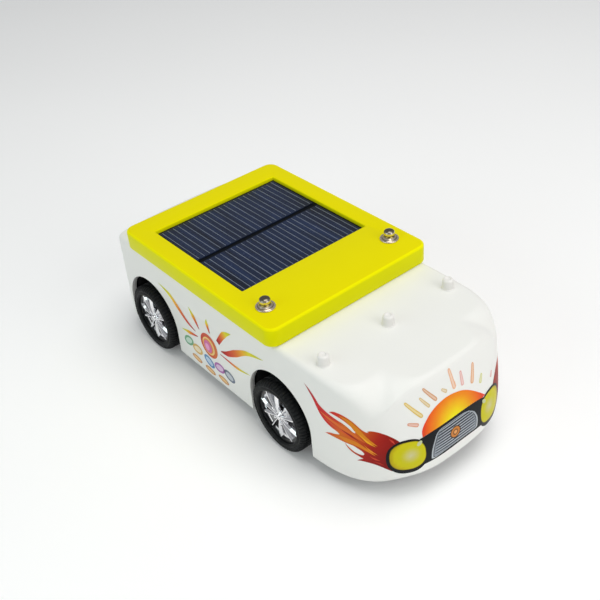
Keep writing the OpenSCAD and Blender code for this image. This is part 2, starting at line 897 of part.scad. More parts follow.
module motor_armature() {
    color("slategray") at_motor() along_y(core_y[0], core_y[1]) difference() {
        pole_outline();
        circle(shaft_r);
    }
}

module motor_windings() {
    coil_w = 4.6;
    color("peru") at_motor() difference() {
        along_y(core_y[0] - coil_over, core_y[1] + coil_over) for (k = [0 : 2])
            rotate(90 + 120 * k) translate([pole_r[0] + 0.3, -coil_w / 2])
                square([pole_r[1] - pole_r[0] - 0.6, coil_w]);
        along_y(core_y[0], core_y[1]) pole_outline();
    }
}

module motor_commutator() {
    color("goldenrod") at_motor() difference() {
        along_y(commutator_y[0], commutator_y[1]) circle(commutator_r);
        along_y(commutator_y[0] - cut, commutator_y[1] + cut) circle(shaft_r);
        along_y(commutator_y[0] - cut, commutator_y[1] - 1) for (k = [0 : 2])
            rotate(30 + 120 * k) translate([shaft_r + 0.4, -0.15]) square([cut, 0.3]);
    }
}

// ---------- which node is drawn ----------

body_shell();
hood_pegs();
deck_snap_studs();
contact_washers();
chassis_plate();
chassis_screws();
bush(rear_x, 1);  // bush_rear_left
bush(rear_x, -1);  // bush_rear_right
bush(front_x, 1);  // bush_front_left
bush(front_x, -1);  // bush_front_right
motor_can();
motor_end_cap();
motor_magnets();
motor_bush();
motor_brushes();
motor_terminals();
motor_clamp();
motor_clamp_screw();
wire_red();
wire_black();
module_frame();
module_back_cover();
module_board();
solar_cell(1);  // solar_cell_front
solar_cell(-1);  // solar_cell_rear
terminal_stud(1);  // terminal_stud_left
terminal_stud(-1);  // terminal_stud_right
terminal_socket(1);  // terminal_socket_left
terminal_socket(-1);  // terminal_socket_right
module_screws();
color("red") module_lead(1);  // module_lead_red
color("#181818") module_lead(-1);  // module_lead_black
axle(rear_x);  // rear_axle
drive_gear();
tyre(rear_x, 1);  // tyre_rear_left
tyre(rear_x, -1);  // tyre_rear_right
wheel_core(rear_x, 1);  // wheel_core_rear_left
wheel_core(rear_x, -1);  // wheel_core_rear_right
wheel_cover(rear_x, 1);  // wheel_cover_rear_left
wheel_cover(rear_x, -1);  // wheel_cover_rear_right
axle(front_x);  // front_axle
tyre(front_x, 1);  // tyre_front_left
tyre(front_x, -1);  // tyre_front_right
wheel_core(front_x, 1);  // wheel_core_front_left
wheel_core(front_x, -1);  // wheel_core_front_right
wheel_cover(front_x, 1);  // wheel_cover_front_left
wheel_cover(front_x, -1);  // wheel_cover_front_right
motor_shaft();
motor_armature();
motor_windings();
motor_commutator();
motor_pinion();
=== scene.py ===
"""Looks of the solar toy car kit: materials, refined pieces, printed stickers, studio and camera.

Lengths are millimetres in the CAD frame, turned into metres by MM. Lights are placed in metres.
"""
import json
import math

import bmesh
import bpy
import numpy as np
from mathutils import Matrix, Vector
from mathutils.geometry import delaunay_2d_cdt


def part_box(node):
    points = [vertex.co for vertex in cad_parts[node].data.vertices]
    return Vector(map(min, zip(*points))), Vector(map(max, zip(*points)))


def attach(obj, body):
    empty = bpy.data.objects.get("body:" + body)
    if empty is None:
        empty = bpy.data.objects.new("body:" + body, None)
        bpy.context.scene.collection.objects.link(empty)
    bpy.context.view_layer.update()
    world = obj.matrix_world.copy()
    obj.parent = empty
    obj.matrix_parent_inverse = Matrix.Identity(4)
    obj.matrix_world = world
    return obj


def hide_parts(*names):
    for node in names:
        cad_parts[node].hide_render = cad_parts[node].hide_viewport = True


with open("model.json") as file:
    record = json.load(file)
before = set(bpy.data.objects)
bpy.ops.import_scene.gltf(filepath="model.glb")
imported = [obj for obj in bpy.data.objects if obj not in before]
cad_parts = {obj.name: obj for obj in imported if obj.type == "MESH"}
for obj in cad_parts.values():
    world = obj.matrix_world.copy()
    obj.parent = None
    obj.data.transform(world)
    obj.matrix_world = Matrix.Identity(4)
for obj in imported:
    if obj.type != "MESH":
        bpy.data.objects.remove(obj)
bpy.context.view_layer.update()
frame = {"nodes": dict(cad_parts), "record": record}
MM = 0.001
SIDES = {"right": -1, "left": 1}


def box_mm(node):
    lo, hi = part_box(node)
    return np.array(lo) / MM, np.array(hi) / MM


# --- sizes taken from the frame, and the shape values it can't give ---

BODY_LO, BODY_HI = box_mm("body_shell")
HALF_W = BODY_HI[1]
SILL_Z, DECK_Z = BODY_LO[2], BODY_HI[2]
MODULE_LO, MODULE_HI = box_mm("module_frame")
AXLES = {name: sum(box_mm(name + "_axle")) / 2 for name in ("rear", "front")}
TYRE_LO, TYRE_HI = box_mm("tyre_rear_left")
TYRE_R = (TYRE_HI[2] - TYRE_LO[2]) / 2
TYRE_IN, TYRE_OUT = TYRE_LO[1], TYRE_HI[1]
CORE_R, COVER_R = 10.4, 10.8
COVER_SEAT = TYRE_OUT - 1.1

# The body's plan is half an oval at the nose and half an oval at the tail, with straight sides between them.
# A is an oval's half length, and the two numbers of E say how square it is at the sill and at the deck.
NOSE_A, NOSE_E = 46, (2.9, 3.7)
TAIL_A, TAIL_E = 13, (3.6, 3.6)
NOSE_X, TAIL_X = BODY_HI[0] - NOSE_A, BODY_LO[0] + TAIL_A
WALL, HOLLOW_BELOW = 2, 1
ARCH_R, ARCH_Z = 16.2, 15.4

# Radii of the top edge, and the facings between which one turns into the next. Facings are in degrees round
# the plan, from 0 at the nose's tip to 180 at the middle of the tail.
RIM_CRISP, RIM_CORNER, RIM_SIDE, RIM_TAIL = 2, 11, 2, 5.5
CORNER_FACINGS, SIDE_FACINGS, TAIL_FACINGS = (5, 50), (50, 89), (90, 178)
CREASE, CREASE_FACINGS = math.radians(37), (34, 71)

# The nose leans in below its widest band and above it, and the tail leans in above one height.
NOSE_WIDE, NOSE_LEAN, LEAN_POWER = (13, 15), (3.8, 6), 1.7
NOSE_LEAN_FACINGS, TAIL_LEAN_FACINGS = (20, 85), (92, 178)
TAIL_LEAN, TAIL_LEAN_FROM = 2.2, 18


# --- general mesh helpers ---


def link(name, data):
    """A new object that holds a mesh, a light or a camera."""
    obj = bpy.data.objects.new(name, data)
    bpy.context.scene.collection.objects.link(obj)
    return obj


def finish_mesh(obj, angle=35):
    obj.data.shade_smooth()
    obj.data.set_sharp_from_angle(angle=math.radians(angle))
    return obj


def mesh_piece(name, points, faces, angle=35):
    """A mesh object from points in millimetres."""
    mesh = bpy.data.meshes.new(name)
    mesh.from_pydata([tuple(np.asarray(p, float) * MM) for p in points], [], faces)
    bm = bmesh.new()
    bm.from_mesh(mesh)
    bmesh.ops.remove_doubles(bm, verts=bm.verts, dist=1e-7)
    bmesh.ops.recalc_face_normals(bm, faces=bm.faces)
    bm.to_mesh(mesh)
    bm.free()
    return finish_mesh(link(name, mesh), angle)


def joined(name, parts, angle=35):
    """One object from several lists of points and faces."""
    points, faces = [], []
    for p, f in parts:
        base = len(points)
        points += [tuple(q) for q in p]
        faces += [tuple(i + base for i in face) for face in f]
    return mesh_piece(name, points, faces, angle)


def rings(stack, closed_stack=False):
    """Faces through a stack of closed rings that hold the same number of points."""
    n, count = len(stack[0]), len(stack)
    points = [tuple(p) for ring in stack for p in ring]
    faces = []
    for k in range(count if closed_stack else count - 1):
        a, b = k * n, ((k + 1) % count) * n
        faces += [(a + i, a + (i + 1) % n, b + (i + 1) % n, b + i) for i in range(n)]
    if not closed_stack:
        faces.append(tuple(range(n))[::-1])
        faces.append(tuple((count - 1) * n + i for i in range(n)))
    return points, faces


def rounded(profile, radius, steps=4, closed=False):
    """A polyline with its corners rounded off. A corner's own radius may follow its two numbers."""
    out = []
    n = len(profile)
    nearly_straight = math.pi / 2 - 0.02
    for i, entry in enumerate(profile):
        p = np.array(entry[:2], float)
        r = entry[2] if len(entry) > 2 else radius
        if not closed and i in (0, n - 1):
            out.append(p)
            continue
        a = np.array(profile[i - 1][:2], float) - p
        b = np.array(profile[(i + 1) % n][:2], float) - p
        la, lb = np.linalg.norm(a), np.linalg.norm(b)
        a, b = a / la, b / lb
        half = math.acos(max(-1, min(1, a @ b))) / 2
        if half > nearly_straight:
            out.append(p)
            continue
        cutback = min(r / math.tan(half), la * 0.48, lb * 0.48)
        start, end = p + a * cutback, p + b * cutback
        for k in range(steps + 1):
            t = k / steps
            out.append((1 - t) ** 2 * start + 2 * t * (1 - t) * p + t * t * end)
    return out


def lathe(profile, steps, centre, along="z", closed=False):
    """A profile of radius and height, turned about an axis. mesh_piece merges the points on the axis."""
    stack = []
    for r, h in profile:
        ring = []
        for k in range(steps):
            a = 2 * math.pi * k / steps
            u, v = r * math.cos(a), r * math.sin(a)
            ring.append(np.array(centre) + ((u, v, h) if along == "z" else (u, h, v)))
        stack.append(ring)
    return rings(stack, closed)


def mirrored(part, side):
    """The same points and faces, mirrored over the middle plane when side is -1."""
    points, faces = part
    if side > 0:
        return points, faces
    return [np.array((p[0], -p[1], p[2])) for p in points], [tuple(reversed(f)) for f in faces]


def rect_ring(size, radius, centre, z, inset):
    """A rounded rectangle, set in by inset, as one ring of points. The count is the same for every size."""
    length, width, radius = size[0] - 2 * inset, size[1] - 2 * inset, radius - inset
    ring, steps = [], 8
    for k, (sx, sy) in enumerate(((1, 1), (-1, 1), (-1, -1), (1, -1))):
        cx, cy = centre[0] + sx * (length / 2 - radius), centre[1] + sy * (width / 2 - radius)
        for i in range(steps + 1):
            a = math.pi / 2 * (k + i / steps)
            ring.append((cx + radius * math.cos(a), cy + radius * math.sin(a), z))
    return ring


def apply_modifiers(obj):
    graph = bpy.context.evaluated_depsgraph_get()
    mesh = bpy.data.meshes.new_from_object(obj.evaluated_get(graph))
    obj.modifiers.clear()
    obj.data = mesh


# --- materials ---


MIX_SHARE, MIX_A, MIX_B, MIX_OUT = 0, 6, 7, 2


class Look:
    """A Principled material and the few node chains that the pieces share."""

    def __init__(self, name, colour, roughness, metallic=0.0, **sockets):
        self.material = bpy.data.materials.new(name)
        self.material.use_nodes = True
        self.tree = self.material.node_tree
        self.shader = self.tree.nodes["Principled BSDF"]
        self.set("Base Color", (*colour, 1))
        self.set("Roughness", roughness)
        self.set("Metallic", metallic)
        for key, value in sockets.items():
            self.set(key.replace("_", " "), value)
        self.where = self.node("TexCoord").outputs["Object"]

    def set(self, socket, value):
        self.shader.inputs[socket].default_value = value

    def node(self, kind, **values):
        made = self.tree.nodes.new("ShaderNode" + kind)
        for key, value in values.items():
            if hasattr(made, key):
                setattr(made, key, value)
            else:
                made.inputs[key.replace("_", " ")].default_value = value
        return made

    def join(self, output, node, socket):
        self.tree.links.new(output, node.inputs[socket])

    def noise(self, per_mm, detail=3, stretch=(1, 1, 1)):
        scale = self.node("Mapping", Scale=tuple(per_mm / MM * s for s in stretch))
        self.join(self.where, scale, "Vector")
        made = self.node("TexNoise", Scale=1.0, Detail=detail)
        self.join(scale.outputs["Vector"], made, "Vector")
        return made.outputs["Fac"]

    def ramp(self, source, stops):
        made = self.node("ValToRGB")
        elements = made.color_ramp.elements
        while len(elements) < len(stops):
            elements.new(0.5)
        for element, (at, value) in zip(elements, stops):
            element.position = at
            element.color = (*value, 1) if isinstance(value, tuple) else (value, value, value, 1)
        self.join(source, made, "Fac")
        return made.outputs["Color"]

    def base_source(self):
        """What drives the base colour now."""
        return self.shader.inputs["Base Color"].links[0].from_socket

    def tint(self, source, low, high, spread=(0.3, 0.7)):
        """Base colour that drifts between two shades."""
        self.join(self.ramp(source, [(spread[0], low), (spread[1], high)]), self.shader, "Base Color")

    def gloss(self, source, low, high):
        """Roughness that drifts between two values."""
        self.join(self.ramp(source, [(0.3, low), (0.7, high)]), self.shader, "Roughness")

    def place_mm(self, axis, low, high, stops, mirror=False):
        """A shade that depends on the place along one axis, with low and high in millimetres."""
        parts = self.node("SeparateXYZ")
        self.join(self.where, parts, "Vector")
        place = parts.outputs[axis]
        if mirror:
            size = self.node("Math", operation="ABSOLUTE")
            self.join(place, size, 0)
            place = size.outputs[0]
        share = self.node("MapRange", From_Min=low * MM, From_Max=high * MM)
        self.join(place, share, "Value")
        return self.ramp(share.outputs["Result"], stops)

    def multiply(self, other, amount=1.0):
        """Multiplies what drives the base colour by another shade."""
        mix = self.node("Mix", data_type="RGBA", blend_type="MULTIPLY")
        mix.inputs[MIX_SHARE].default_value = amount
        self.join(self.base_source(), mix, MIX_A)
        self.join(other, mix, MIX_B)
        self.join(mix.outputs[MIX_OUT], self.shader, "Base Color")

    def bump(self, source, depth_mm):
        made = self.node("Bump", Strength=1.0, Distance=depth_mm * MM)
        self.join(source, made, "Height")
        self.join(made.outputs["Normal"], self.shader, "Normal")

    def worn_edges(self, edge):
        """Lighter, rubbed edges over the base colour."""
        point = self.node("NewGeometry").outputs["Pointiness"]
        mask = self.ramp(point, [(0.52, 0.0), (0.60, 0.5)])
        mix = self.node("Mix", data_type="RGBA")
        self.join(mask, mix, MIX_SHARE)
        self.join(self.base_source(), mix, MIX_A)
        mix.inputs[MIX_B].default_value = (*edge, 1)
        self.join(mix.outputs[MIX_OUT], self.shader, "Base Color")


def linear(r, g, b):
    """A colour given in 0 to 255 display values."""
    return tuple((c / 255 / 12.92) if c <= 10 else ((c / 255 + 0.055) / 1.055) ** 2.4 for c in (r, g, b))


def moulded(name, colour, roughness, drift, grain, specular=0.5):
    """Injection-moulded plastic: slight colour drift, flow marks in the gloss, orange-peel bump."""
    look = Look(name, colour, roughness, Specular_IOR_Level=specular)
    shade = tuple(c * (1 - drift) for c in colour)
    look.tint(look.noise(0.03, 2), shade, colour)
    look.gloss(look.noise(0.06, 2), roughness - 0.03, roughness + 0.04)
    look.bump(look.noise(1.6, 2), grain)
    return look


# Plain plastics: colour, roughness, colour drift, depth of the grain in mm, and specular level where set.
PLASTICS = {
    "body_white": (linear(237, 237, 233), 0.42, 0.02, 0.002, 0.3),
    "peg_white": (linear(238, 236, 232), 0.3, 0.05, 0.008),
    "core_black": ((0.014, 0.014, 0.016), 0.3, 0.3, 0.01),
    "board_black": (linear(6, 10, 15), 0.5, 0.2, 0.004, 0.08),
    "gear_nylon": (linear(235, 230, 214), 0.42, 0.06, 0.015),
    "cap_nylon": (linear(240, 238, 230), 0.42, 0.06, 0.015),
    "wire_red": (linear(190, 20, 16), 0.45, 0.1, 0.02),
    "wire_black": ((0.014, 0.014, 0.015), 0.45, 0.1, 0.02),
}


def chassis_black():
    look = moulded("chassis_black", (0.008, 0.008, 0.008), 0.45, 0.3, 0.02, 0.2)
    look.worn_edges((0.03, 0.03, 0.031))
    return look.material


def module_yellow():
    """Yellow plastic with painted light: shade painted on its walls, a painted highlight along the rounded
    top edge, and a darker, warmer shade painted on the flat top.
    """
    look = moulded("module_yellow", linear(241, 236, 6), 0.34, 0.03, 0.003, 0.05)
    look.set("Specular Tint", (1, 0.95, 0.02, 1))
    # Painted light by height: shade on the walls, a highlight band along the rounded top edge, and a darker,
    # warmer top face.
    top, painted_highlight = MODULE_HI[2], (1, 1, 1)
    stops = [(0.0, (0.87, 0.9, 1)), (0.45, (0.88, 0.92, 1)), (0.62, painted_highlight), (0.94, painted_highlight)]
    look.multiply(look.place_mm("Z", top - 2, top, stops + [(0.99, (0.9, 0.84, 0.6))]))
    return look.material


def brushed(name, colour, roughness, brush=(1, 1, 1), streak=0.08, tarnish=0.25):
    """Metal with faint handling marks: streaks in the gloss and a slightly duller shade in patches."""
    look = Look(name, colour, roughness, 1.0)
    patches = look.noise(0.12, 5)
    look.tint(patches, tuple(c * (1 - tarnish) for c in colour), colour, (0.35, 0.6))
    look.gloss(look.noise(0.9, 4, brush), max(0.02, roughness - streak), roughness + streak)
    look.bump(look.noise(2.5, 3, brush), 0.002)
    return look


def stud_plated():
    """Nickel plating with painted light: painted reflections of the yellow tray below it, bright painted
    highlight bands, and painted shade in the dish and on the crown.
    """
    look = brushed("stud_plated", linear(236, 230, 222), 0.24, tarnish=0.08)
    foot, top = MODULE_HI[2], box_mm("terminal_stud_left")[1][2]
    # Painted reflections, highlights and shade, laid in bands up the stud's height.
    bands = [
        (0.0, (170, 150, 100)), (0.05, (255, 246, 238)), (0.12, (255, 246, 238)), (0.15, (150, 138, 110)),
        (0.24, (246, 238, 226)), (0.36, (160, 146, 76)), (0.5, (140, 122, 56)), (0.56, (255, 250, 246)),
        (0.76, (246, 240, 232)), (0.9, (150, 146, 136)), (1.0, (130, 126, 116)),
    ]
    look.multiply(look.place_mm("Z", foot, top, [(at, linear(*shade)) for at, shade in bands]))
    return look.material


def cover_chrome():
    """Bright plating whose hollows lie in the dark."""
    look = brushed("cover_chrome", linear(240, 240, 243), 0.1, streak=0.04, tarnish=0.06)
    stops = [(0.0, 0.03), (0.13, 0.06), (0.3, 0.3), (0.5, 0.85), (0.7, 1.0)]
    look.multiply(look.place_mm("Y", COVER_SEAT - 1.75, COVER_SEAT - 0.3, stops, mirror=True))
    return look.material


def cell_blue():
    """Silicon under clear resin: dark blue with faint bands across the cell and fine crystal mottling."""
    resin = {"Specular_IOR_Level": 0.25, "Coat_Weight": 0.1, "Coat_Roughness": 0.1}
    look = Look("cell_blue", linear(24, 38, 68), 0.3, **resin)
    bands = look.noise(0.22, 3, (0.12, 1, 1))
    mottle = look.noise(0.9, 5)
    look.tint(bands, linear(9, 18, 36), linear(24, 42, 76))
    look.multiply(look.ramp(mottle, [(0.3, 0.6), (0.7, 1.0)]), 0.5)
    look.gloss(mottle, 0.16, 0.3)
    look.bump(look.noise(0.3, 2), 0.01)
    return look.material


def tyre_black():
    """Soft rubber: matt, dusty in the low places, with a fine grain."""
    look = Look("tyre_black", (0.007, 0.007, 0.008), 0.55, Specular_IOR_Level=0.2)
    dust = look.noise(0.5, 6)
    look.tint(dust, (0.004, 0.005, 0.006), (0.010, 0.011, 0.011), (0.4, 0.75))
    look.worn_edges((0.02, 0.021, 0.022))
    look.gloss(look.noise(0.8, 4), 0.5, 0.72)
    look.bump(look.noise(4, 3), 0.02)
    return look.material


def magnet_grey():
    look = Look("magnet_grey", (0.06, 0.06, 0.065), 0.7)
    look.tint(look.noise(1.2, 6), (0.04, 0.04, 0.045), (0.08, 0.08, 0.085))
    look.bump(look.noise(3, 5), 0.05)
    return look.material


def copper():
    """Enamelled copper wire wound in layers."""
    look = Look("copper", linear(190, 105, 60), 0.3, 1.0)
    wave = look.node("TexWave", Scale=1.2 / MM, Distortion=0.6, Detail=2.0)
    wave.wave_type, wave.bands_direction = "BANDS", "X"
    look.join(look.where, wave, "Vector")
    look.tint(wave.outputs["Fac"], linear(130, 62, 34), linear(205, 122, 74))
    look.bump(wave.outputs["Fac"], 0.08)
    return look.material


def ink():
    """Printed film: its colours come from the mesh, with a faint unevenness in the ink and the gloss."""
    roughness = 0.34
    look = Look("sticker_ink", (0.8, 0.8, 0.8), roughness, Specular_IOR_Level=0.12)
    colour = look.node("VertexColor", layer_name="ink").outputs["Color"]
    look.join(colour, look.shader, "Base Color")
    look.multiply(look.ramp(look.noise(0.35, 3), [(0.3, 0.86), (0.7, 1.0)]), 0.3)
    look.gloss(look.noise(0.3, 4), roughness - 0.05, roughness + 0.08)
    look.bump(look.noise(1.5, 2), 0.003)
    return look.material


# Plain metals: colour, roughness and how the brush marks stretch.
METALS = {
    "steel": (linear(190, 192, 196), 0.25, (1, 0.05, 1)),
    "brass": (linear(205, 168, 92), 0.28),
}
SPECIAL = (
    chassis_black, module_yellow, cell_blue, stud_plated, cover_chrome, tyre_black, copper, magnet_grey, ink,
)
MATERIALS = {name: moulded(name, *values).material for name, values in PLASTICS.items()}
MATERIALS.update({name: brushed(name, *values).material for name, values in METALS.items()})
MATERIALS.update({make.__name__: make() for make in SPECIAL})
MATERIALS["finger"] = brushed("finger_silver", linear(172, 182, 198), 0.4, (0.2, 1, 1)).material


def dress_cad_nodes():
    """Every CAD node takes the detailed material of its slot."""
    for entry in frame["record"]["subparts"]:
        obj = frame["nodes"][entry["node"]]
        obj.data.materials.clear()
        obj.data.materials.append(MATERIALS[entry["material_slot"]])


def place(obj, slot, body, replaces=()):
    """Gives a piece the material of a slot, puts it on a body, and hides the CAD nodes it stands for."""
    obj.data.materials.clear()
    obj.data.materials.append(MATERIALS[slot])
    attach(obj, body)
    if replaces:
        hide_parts(*replaces)


# --- body skin: the CAD's own formula, drawn finer ---


def smooth(a, b, x):
    t = np.clip((x - a) / (b - a), 0, 1)
    return t * t * (3 - 2 * t)


def skin_lean(face, z):
    """How far the wall leans in at a facing and a height."""
    low = (np.maximum(0, NOSE_WIDE[0] - z) / (NOSE_WIDE[0] - SILL_Z)) ** LEAN_POWER
    high = (np.maximum(0, z - NOSE_WIDE[1]) / (DECK_Z - NOSE_WIDE[1])) ** LEAN_POWER
    nose = NOSE_LEAN[0] * low + NOSE_LEAN[1] * high
    tail = TAIL_LEAN * (np.maximum(0, z - TAIL_LEAN_FROM) / (DECK_Z - TAIL_LEAN_FROM)) ** 2
    return (1 - smooth(*NOSE_LEAN_FACINGS, face)) * nose + smooth(*TAIL_LEAN_FACINGS, face) * tail


def edge_radius(face):
    """Radius of the top edge at a facing."""
    return (
        RIM_CRISP
        + (RIM_CORNER - RIM_CRISP) * smooth(*CORNER_FACINGS, face)
        + (RIM_SIDE - RIM_CORNER) * smooth(*SIDE_FACINGS, face)
        + (RIM_TAIL - RIM_SIDE) * smooth(*TAIL_FACINGS, face)
    )


def edge_start(face):
    """Where round the top edge's bend the wall meets it: above 0 it leaves a crease."""
    return CREASE * (1 - smooth(*CREASE_FACINGS, face))


def oval(turn, e):
    """An oval's shares of its half length and half width. It is squarer with a larger e."""
    c, s = math.cos(turn), math.sin(turn)
    c, s = (0 if abs(c) < 1e-9 else c), (0 if abs(s) < 1e-9 else s)
    return math.copysign(abs(c) ** (2 / e), c), math.copysign(abs(s) ** (2 / e), s)


def facing(a, e, turn):
    """The direction that the plan faces at a turn, in degrees: 0 is forward and 180 back."""
    mean = (e[0] + e[1]) / 2
    u, v = oval(turn, mean)
    nx, ny = math.copysign(abs(u) ** (mean - 1), u) / a, abs(v) ** (mean - 1) / HALF_W
    return math.degrees(math.atan2(ny, nx))


def placed(station, z, inset):
    """A station's place on the plan at a height, moved in by inset."""
    x, a, e, turn, _ = station
    u, v = oval(turn, e[0] + (e[1] - e[0]) * (z - SILL_Z) / (DECK_Z - SILL_Z))
    return x + (a - inset) * u, (HALF_W - inset) * v


def oval_stations(x, a, e, start, steps, bunch):
    """Places round half an oval: its middle, half length and squareness, and the turn and facing there."""
    shares = [i / steps for i in range(steps + 1)]
    turns = [start + math.pi * t - bunch / 2 * math.sin(2 * math.pi * t) for t in shares]
    return [(x, a, e, turn, facing(a, e, turn)) for turn in turns]


def skin_stations():
    """Places round the whole plan. Their turns lie closer together where the ovals meet the sides."""
    nose = oval_stations(NOSE_X, NOSE_A, NOSE_E, -math.pi / 2, 144, 0.6)
    return nose + oval_stations(TAIL_X, TAIL_A, TAIL_E, math.pi / 2, 64, 0.75)


def skin_ring(stations, rise, bend, depth):
    """One ring of the skin: rise goes from 0 to 1 up the wall, then bend from 0 to 1 round the top edge."""
    ring = []
    foot = SILL_Z - (HOLLOW_BELOW if depth else 0)
    for station in stations:
        face = station[4]
        r = max(0.4, edge_radius(face) - depth)
        start = edge_start(face)
        turn = start + (math.pi / 2 - start) * bend
        wall_top = DECK_Z - depth - r * (1 - math.sin(start))
        z = foot + rise * (wall_top - foot) + r * (math.sin(turn) - math.sin(start))
        inset = depth + skin_lean(face, z) + r * (math.cos(start) - math.cos(turn))
        ring.append((*placed(station, z, inset), z))
    return ring


def skin_solid(depth):
    """The solid inside the skin, set in by depth."""
    walls, edges = 30, 14
    stations = skin_stations()
    stack = [skin_ring(stations, k / walls, 0, depth) for k in range(walls + 1)]
    stack += [skin_ring(stations, 1, k / edges, depth) for k in range(1, edges + 1)]
    return rings(stack)


def arch_cutter(x):
    """The wheel arch's outline, drawn right through the body."""
    outline = [(x + ARCH_R * math.cos(a), ARCH_Z + ARCH_R * math.sin(a)) for a in np.linspace(0, math.pi, 97)]
    outline += [(x - ARCH_R, 0), (x + ARCH_R, 0)]
    return rings([[(px, y, pz) for px, pz in outline] for y in (-HALF_W - 5, HALF_W + 5)])


def cut_away(obj, tools):
    for tool in tools:
        step = obj.modifiers.new("cut", "BOOLEAN")
        step.operation, step.object, step.solver = "DIFFERENCE", tool, "EXACT"
    apply_modifiers(obj)
    for tool in tools:
        bpy.data.objects.remove(tool)


def round_edges(obj, width):
    step = obj.modifiers.new("edges", "BEVEL")
    step.width, step.segments, step.limit_method = width * MM, 2, "ANGLE"
    step.angle_limit = math.radians(40)
    step.use_clamp_overlap = True
    apply_modifiers(obj)


def make_body_shell():
    shell = mesh_piece("shell", *skin_solid(0))
    cutters = [mesh_piece("hollow", *skin_solid(WALL))]
    cutters += [mesh_piece("arch_" + name, *arch_cutter(c[0])) for name, c in AXLES.items()]
    cut_away(shell, cutters)
    round_edges(shell, 0.25)
    finish_mesh(shell, 40)
    place(shell, "body_white", "chassis", ["body_shell"])


# --- wheels ---

RIB_COUNT, RIB_STEPS, RIB_DEPTH, RIB_REACH = 64, 6, 0.45, 3.2
RIB_WAVE = (0, 0, 0.25, 1, 1, 0.25)


def tyre_profile():
    """Cross-section of a tyre as radius and place across."""
    mid, flank = (TYRE_IN + TYRE_OUT) / 2, TYRE_OUT - 0.02
    bead = [(CORE_R + 0.5, COVER_SEAT - 1.1), (CORE_R + 0.5, COVER_SEAT), (CORE_R - 0.25, COVER_SEAT)]
    wall = [(CORE_R - 0.2, TYRE_OUT - 0.45), (COVER_R - 0.1, TYRE_OUT), (11.3, flank)]
    wall += [(11.6, TYRE_OUT - 0.2), (12.1, flank), (TYRE_R - 1.3, flank)]
    shoulder = [(TYRE_R - 0.62, TYRE_OUT - 0.35), (TYRE_R - 0.2, TYRE_OUT - 0.9), (TYRE_R, TYRE_OUT - 1.6)]
    groove = [(TYRE_R, mid + 1.9), (TYRE_R - 0.5, mid + 1.8), (TYRE_R - 0.5, mid + 1.4), (TYRE_R, mid + 1.3)]
    outer = bead + wall + shoulder + groove
    inner = [(r, 2 * mid - y) for r, y in outer[::-1][:-2]]
    inner += [(CORE_R + 0.5, TYRE_IN), (CORE_R, TYRE_IN + 0.3)]
    return rounded(outer + inner, 0.12, 2, closed=True)


def rib_share(r, y):
    """How much of the rib pattern shows at a place on the section: on the tread and the shoulders only."""
    edge = min(TYRE_OUT - y, y - TYRE_IN)
    if edge >= RIB_REACH:
        return 0.0
    return float(smooth(TYRE_R - 1.6, TYRE_R - 0.7, r) * (0.4 + 0.6 * smooth(2.4, 1.4, edge)))


def tyre_mesh(centre):
    profile = tyre_profile()
    count = RIB_COUNT * RIB_STEPS
    stack = []
    for k in range(count):
        a = 2 * math.pi * k / count
        ring = []
        for r, y in profile:
            deep = r - RIB_DEPTH * rib_share(r, y) * RIB_WAVE[k % RIB_STEPS]
            ring.append((centre[0] + deep * math.cos(a), y, centre[2] + deep * math.sin(a)))
        stack.append(ring)
    return rings(stack, closed_stack=True)


SPOKES, SPOKE_START, RIM_INSIDE = 5, 1.6, 9.5
COVER_FACE, COVER_BACK = COVER_SEAT - 0.25, COVER_SEAT - 1.7
NUT_AT = 3.0


def spread(t):
    """Half the width of a twin spoke at a share t of its length."""
    return 0.5 + 2.25 * t ** 1.1


def arm_section(lean, t):
    """Section of one arm of a twin spoke: a ridged bar that leans aside from the spoke's middle."""
    mid, half = lean * spread(t), 0.5 + 0.62 * t
    crown = COVER_FACE + 0.7 * math.sin(math.pi * (0.1 + 0.6 * t)) - 0.35 * t * t
    shoulder, ridge = crown - 0.75, half * 0.25
    section = [(-half, COVER_BACK), (-half, shoulder), (-ridge, crown)]
    section += [(ridge, crown), (half, shoulder), (half, COVER_BACK)]
    return [(mid + u, y) for u, y in section]


def web_section(t):
    """Section of the sunken panel between the two arms of a spoke."""
    half = spread(t)
    dish = COVER_FACE - 0.4 - 0.3 * math.sin(math.pi * t) - 0.2 * t
    return [(-half, COVER_BACK), (-half, dish), (0, dish - 0.15), (half, dish), (half, COVER_BACK)]


def spoke_bar(centre, angle, outer, steps, section):
    """A bar from the hub out to a radius, with a section for each share t of its length."""
    direction = np.array((math.cos(angle), 0, math.sin(angle)))
    across = np.array((-math.sin(angle), 0, math.cos(angle)))
    stack = []
    for t in np.linspace(0, 1, steps):
        c = np.array(centre) * (1, 0, 1) + direction * (SPOKE_START + (outer - SPOKE_START) * t)
        stack.append([c + across * u + np.array((0, y, 0)) for u, y in section(t)])
    return rings(stack)


